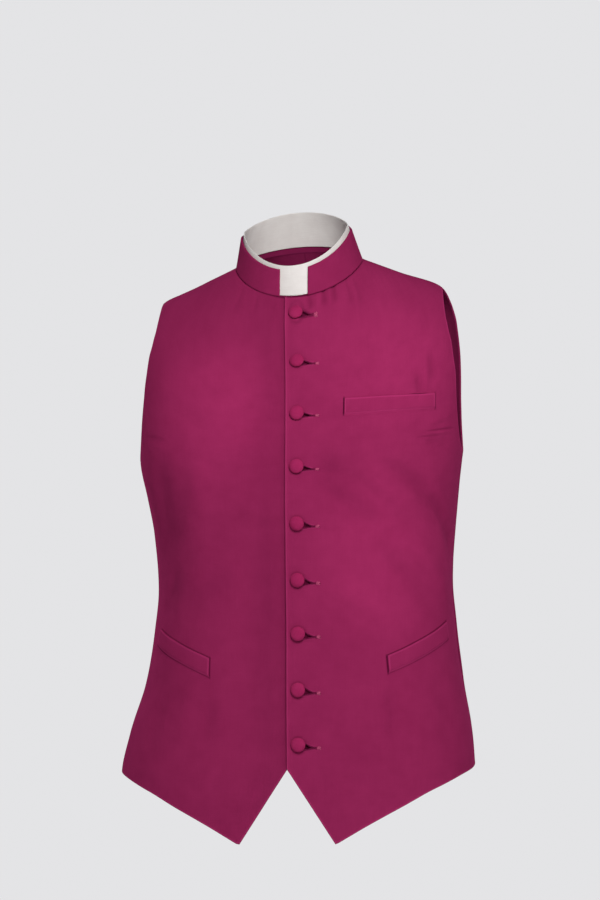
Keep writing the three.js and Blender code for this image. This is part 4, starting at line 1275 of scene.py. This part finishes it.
# the purl is coloured like the cloth in shade: painted shade along the lips of the holes
purl_shaded_material = thread("buttonhole_silk_painted_shade", LINEAR(92, 16, 52), LINEAR(140, 28, 80), 0.03)
tack_material = thread("bar_tack_silk", LINEAR(150, 36, 86), LINEAR(222, 104, 146), 0.03)

# ------------------------------------------------------------------ riding
def place(obj, material, slot, *nodes):
    obj.data.materials.clear()
    obj.data.materials.append(material)
    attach(obj, "root")
    if nodes:
        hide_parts(*nodes)


place(front_left, cloth_material, "rabat_cloth", "front_left")
place(front_right, cloth_material, "rabat_cloth", "front_right")
place(back_left, cloth_material, "rabat_cloth", "back_left")
place(back_right, cloth_material, "rabat_cloth", "back_right")
place(band, cloth_material, "rabat_cloth", "neckband")
place(white, white_material, "collar_white", "white_collar")
place(chest, cloth_material, "rabat_cloth", "chest_welt")
for name, obj in hips.items():
    place(obj, cloth_material, "rabat_cloth", name)
for k, obj in enumerate(buttons):
    place(obj, button_material, "button_cloth", f"button_{k + 1}")
place(purl, purl_shaded_material, "rabat_cloth")
place(tack, tack_material, "rabat_cloth")

# ------------------------------------------------------------------ the studio
scene = bpy.context.scene
VIEW_AZIMUTH, DISTANCE, EYE_X, EYE_Z, LENS = 5.0, 3.2, -0.00345, -0.2145, 111.3
a = math.radians(VIEW_AZIMUTH)
right, behind = Vector((math.cos(a), math.sin(a), 0)), Vector((math.sin(a), -math.cos(a), 0))
camera = bpy.data.objects.new("camera", bpy.data.cameras.new("camera"))
scene.collection.objects.link(camera)
camera.data.lens, camera.data.sensor_width = LENS, 36.0
camera.data.clip_start, camera.data.clip_end = 0.1, 50
camera.location = behind * DISTANCE + right * EYE_X + Vector((0, 0, EYE_Z))
camera.rotation_mode = "QUATERNION"
camera.rotation_quaternion = (-behind).to_track_quat("-Z", "Y")
scene.camera = camera


def area_light(name, azimuth, elevation, distance, size, power, colour=(1, 1, 1)):
    """A soft lamp aimed at the chest. Azimuth 0 is straight in front and 90 on the wearer's left."""
    light = bpy.data.lights.new(name, "AREA")
    light.shape, light.size, light.size_y = "RECTANGLE", size[0], size[1]
    light.energy, light.color = power, colour
    obj = bpy.data.objects.new(name, light)
    az, el = math.radians(azimuth), math.radians(elevation)
    away = Vector((math.sin(az) * math.cos(el), -math.cos(az) * math.cos(el), math.sin(el)))
    obj.location = Vector((0, 0, -0.25)) + away * distance
    obj.rotation_mode = "QUATERNION"
    obj.rotation_quaternion = (-away).to_track_quat("-Z", "Y")
    obj.visible_camera = False
    scene.collection.objects.link(obj)


area_light("key", 15, 32, 1.7, (0.6, 0.6), 20.0, (1.0, 0.99, 0.98))
area_light("low_fill", 32, -24, 1.7, (0.9, 0.7), 3.0)
area_light("left_fill", -82, -18, 1.8, (0.8, 1.2), 3.4, (1.0, 0.98, 0.98))
area_light("right_fill", 75, 15, 3.0, (1.0, 1.4), 0.5)
area_light("rear_left", 215, 4, 2.4, (1.0, 1.2), 7)
area_light("rear_right", 158, 6, 2.4, (1.4, 1.6), 8.5)


def spot_light(name, target, azimuth, elevation, distance, cone, blend, power, size):
    """A small lamp with a soft edge, aimed at one place."""
    lamp = bpy.data.lights.new(name, "SPOT")
    lamp.energy, lamp.spot_size, lamp.spot_blend, lamp.shadow_soft_size = power, math.radians(cone), blend, size
    obj = bpy.data.objects.new(name, lamp)
    az, el = math.radians(azimuth), math.radians(elevation)
    away = Vector((math.sin(az) * math.cos(el), -math.cos(az) * math.cos(el), math.sin(el)))
    obj.location = Vector(target) + away * distance
    obj.rotation_mode = "QUATERNION"
    obj.rotation_quaternion = (-away).to_track_quat("-Z", "Y")
    scene.collection.objects.link(obj)


# from above and behind, on the back only, below the shoulders
spot_light("back_lamp", (0, 0.08, -0.38), 226, 34, 2.2, 19, 0.55, 78, 0.14)
# soft brighter places on both sides of the chest and at the waist
spot_light("right_chest", (-0.088, -0.11, -0.165), -10, 24, 1.8, 6.2, 1.0, 22, 0.02)
spot_light("left_chest", (0.104, -0.09, -0.115), 18, 24, 1.8, 6.2, 1.0, 14, 0.02)
spot_light("left_waist", (0.104, -0.12, -0.335), 16, 20, 1.8, 6.2, 1.0, 19, 0.02)

world = bpy.data.worlds.new("studio")
world.use_nodes = True
scene.world = world
tree = world.node_tree
tree.nodes.clear()
out = tree.nodes.new("ShaderNodeOutputWorld")
lit, seen = tree.nodes.new("ShaderNodeBackground"), tree.nodes.new("ShaderNodeBackground")
lit.inputs["Color"].default_value, lit.inputs["Strength"].default_value = (0.94, 0.96, 1.0, 1), 0.08
seen.inputs["Color"].default_value, seen.inputs["Strength"].default_value = (0.775, 0.775, 0.79, 1), 1.0
path, blend = tree.nodes.new("ShaderNodeLightPath"), tree.nodes.new("ShaderNodeMixShader")
tree.links.new(path.outputs["Is Camera Ray"], blend.inputs[0])
tree.links.new(lit.outputs[0], blend.inputs[1])
tree.links.new(seen.outputs[0], blend.inputs[2])
tree.links.new(blend.outputs[0], out.inputs["Surface"])

FLOOR = dict(radius=3.4, z=-1.45, rings=12, turns=96)
verts, faces = [(0, 0, FLOOR["z"] * 1000)], []
for i in range(1, FLOOR["rings"] + 1):
    r = FLOOR["radius"] * 1000 * i / FLOOR["rings"]
    for j in range(FLOOR["turns"]):
        q = 2 * math.pi * j / FLOOR["turns"]
        verts.append((r * math.cos(q), r * math.sin(q), FLOOR["z"] * 1000))
T = FLOOR["turns"]
faces += [(0, 1 + j, 1 + (j + 1) % T) for j in range(T)]
for i in range(FLOOR["rings"] - 1):
    b = 1 + i * T
    faces += [(b + j, b + T + j, b + T + (j + 1) % T, b + (j + 1) % T) for j in range(T)]
floor = new_object("floor", verts, faces)
N = Nodes("studio_floor")
where = N.add("ShaderNodeTexCoord").outputs["Object"]
tone = N.noise(where, 1.6, 4.0, 0.5)
floor_colour = N.ramp(tone, [(0.3, (0.80, 0.80, 0.81, 1)), (0.7, (0.86, 0.86, 0.87, 1))])
shader = N.add("ShaderNodeBsdfPrincipled", {"Base Color": floor_colour})
shader.inputs["Roughness"].default_value = 0.75
# it glows faintly, so that it stays pale where the lamps, aimed at the garment, don't reach
shader.inputs["Emission Color"].default_value = (0.98, 0.98, 1.0, 1)
shader.inputs["Emission Strength"].default_value = 0.20
floor.data.materials.append(N.finish(shader))

scene.view_settings.view_transform = "Standard"
scene.view_settings.look = "None"
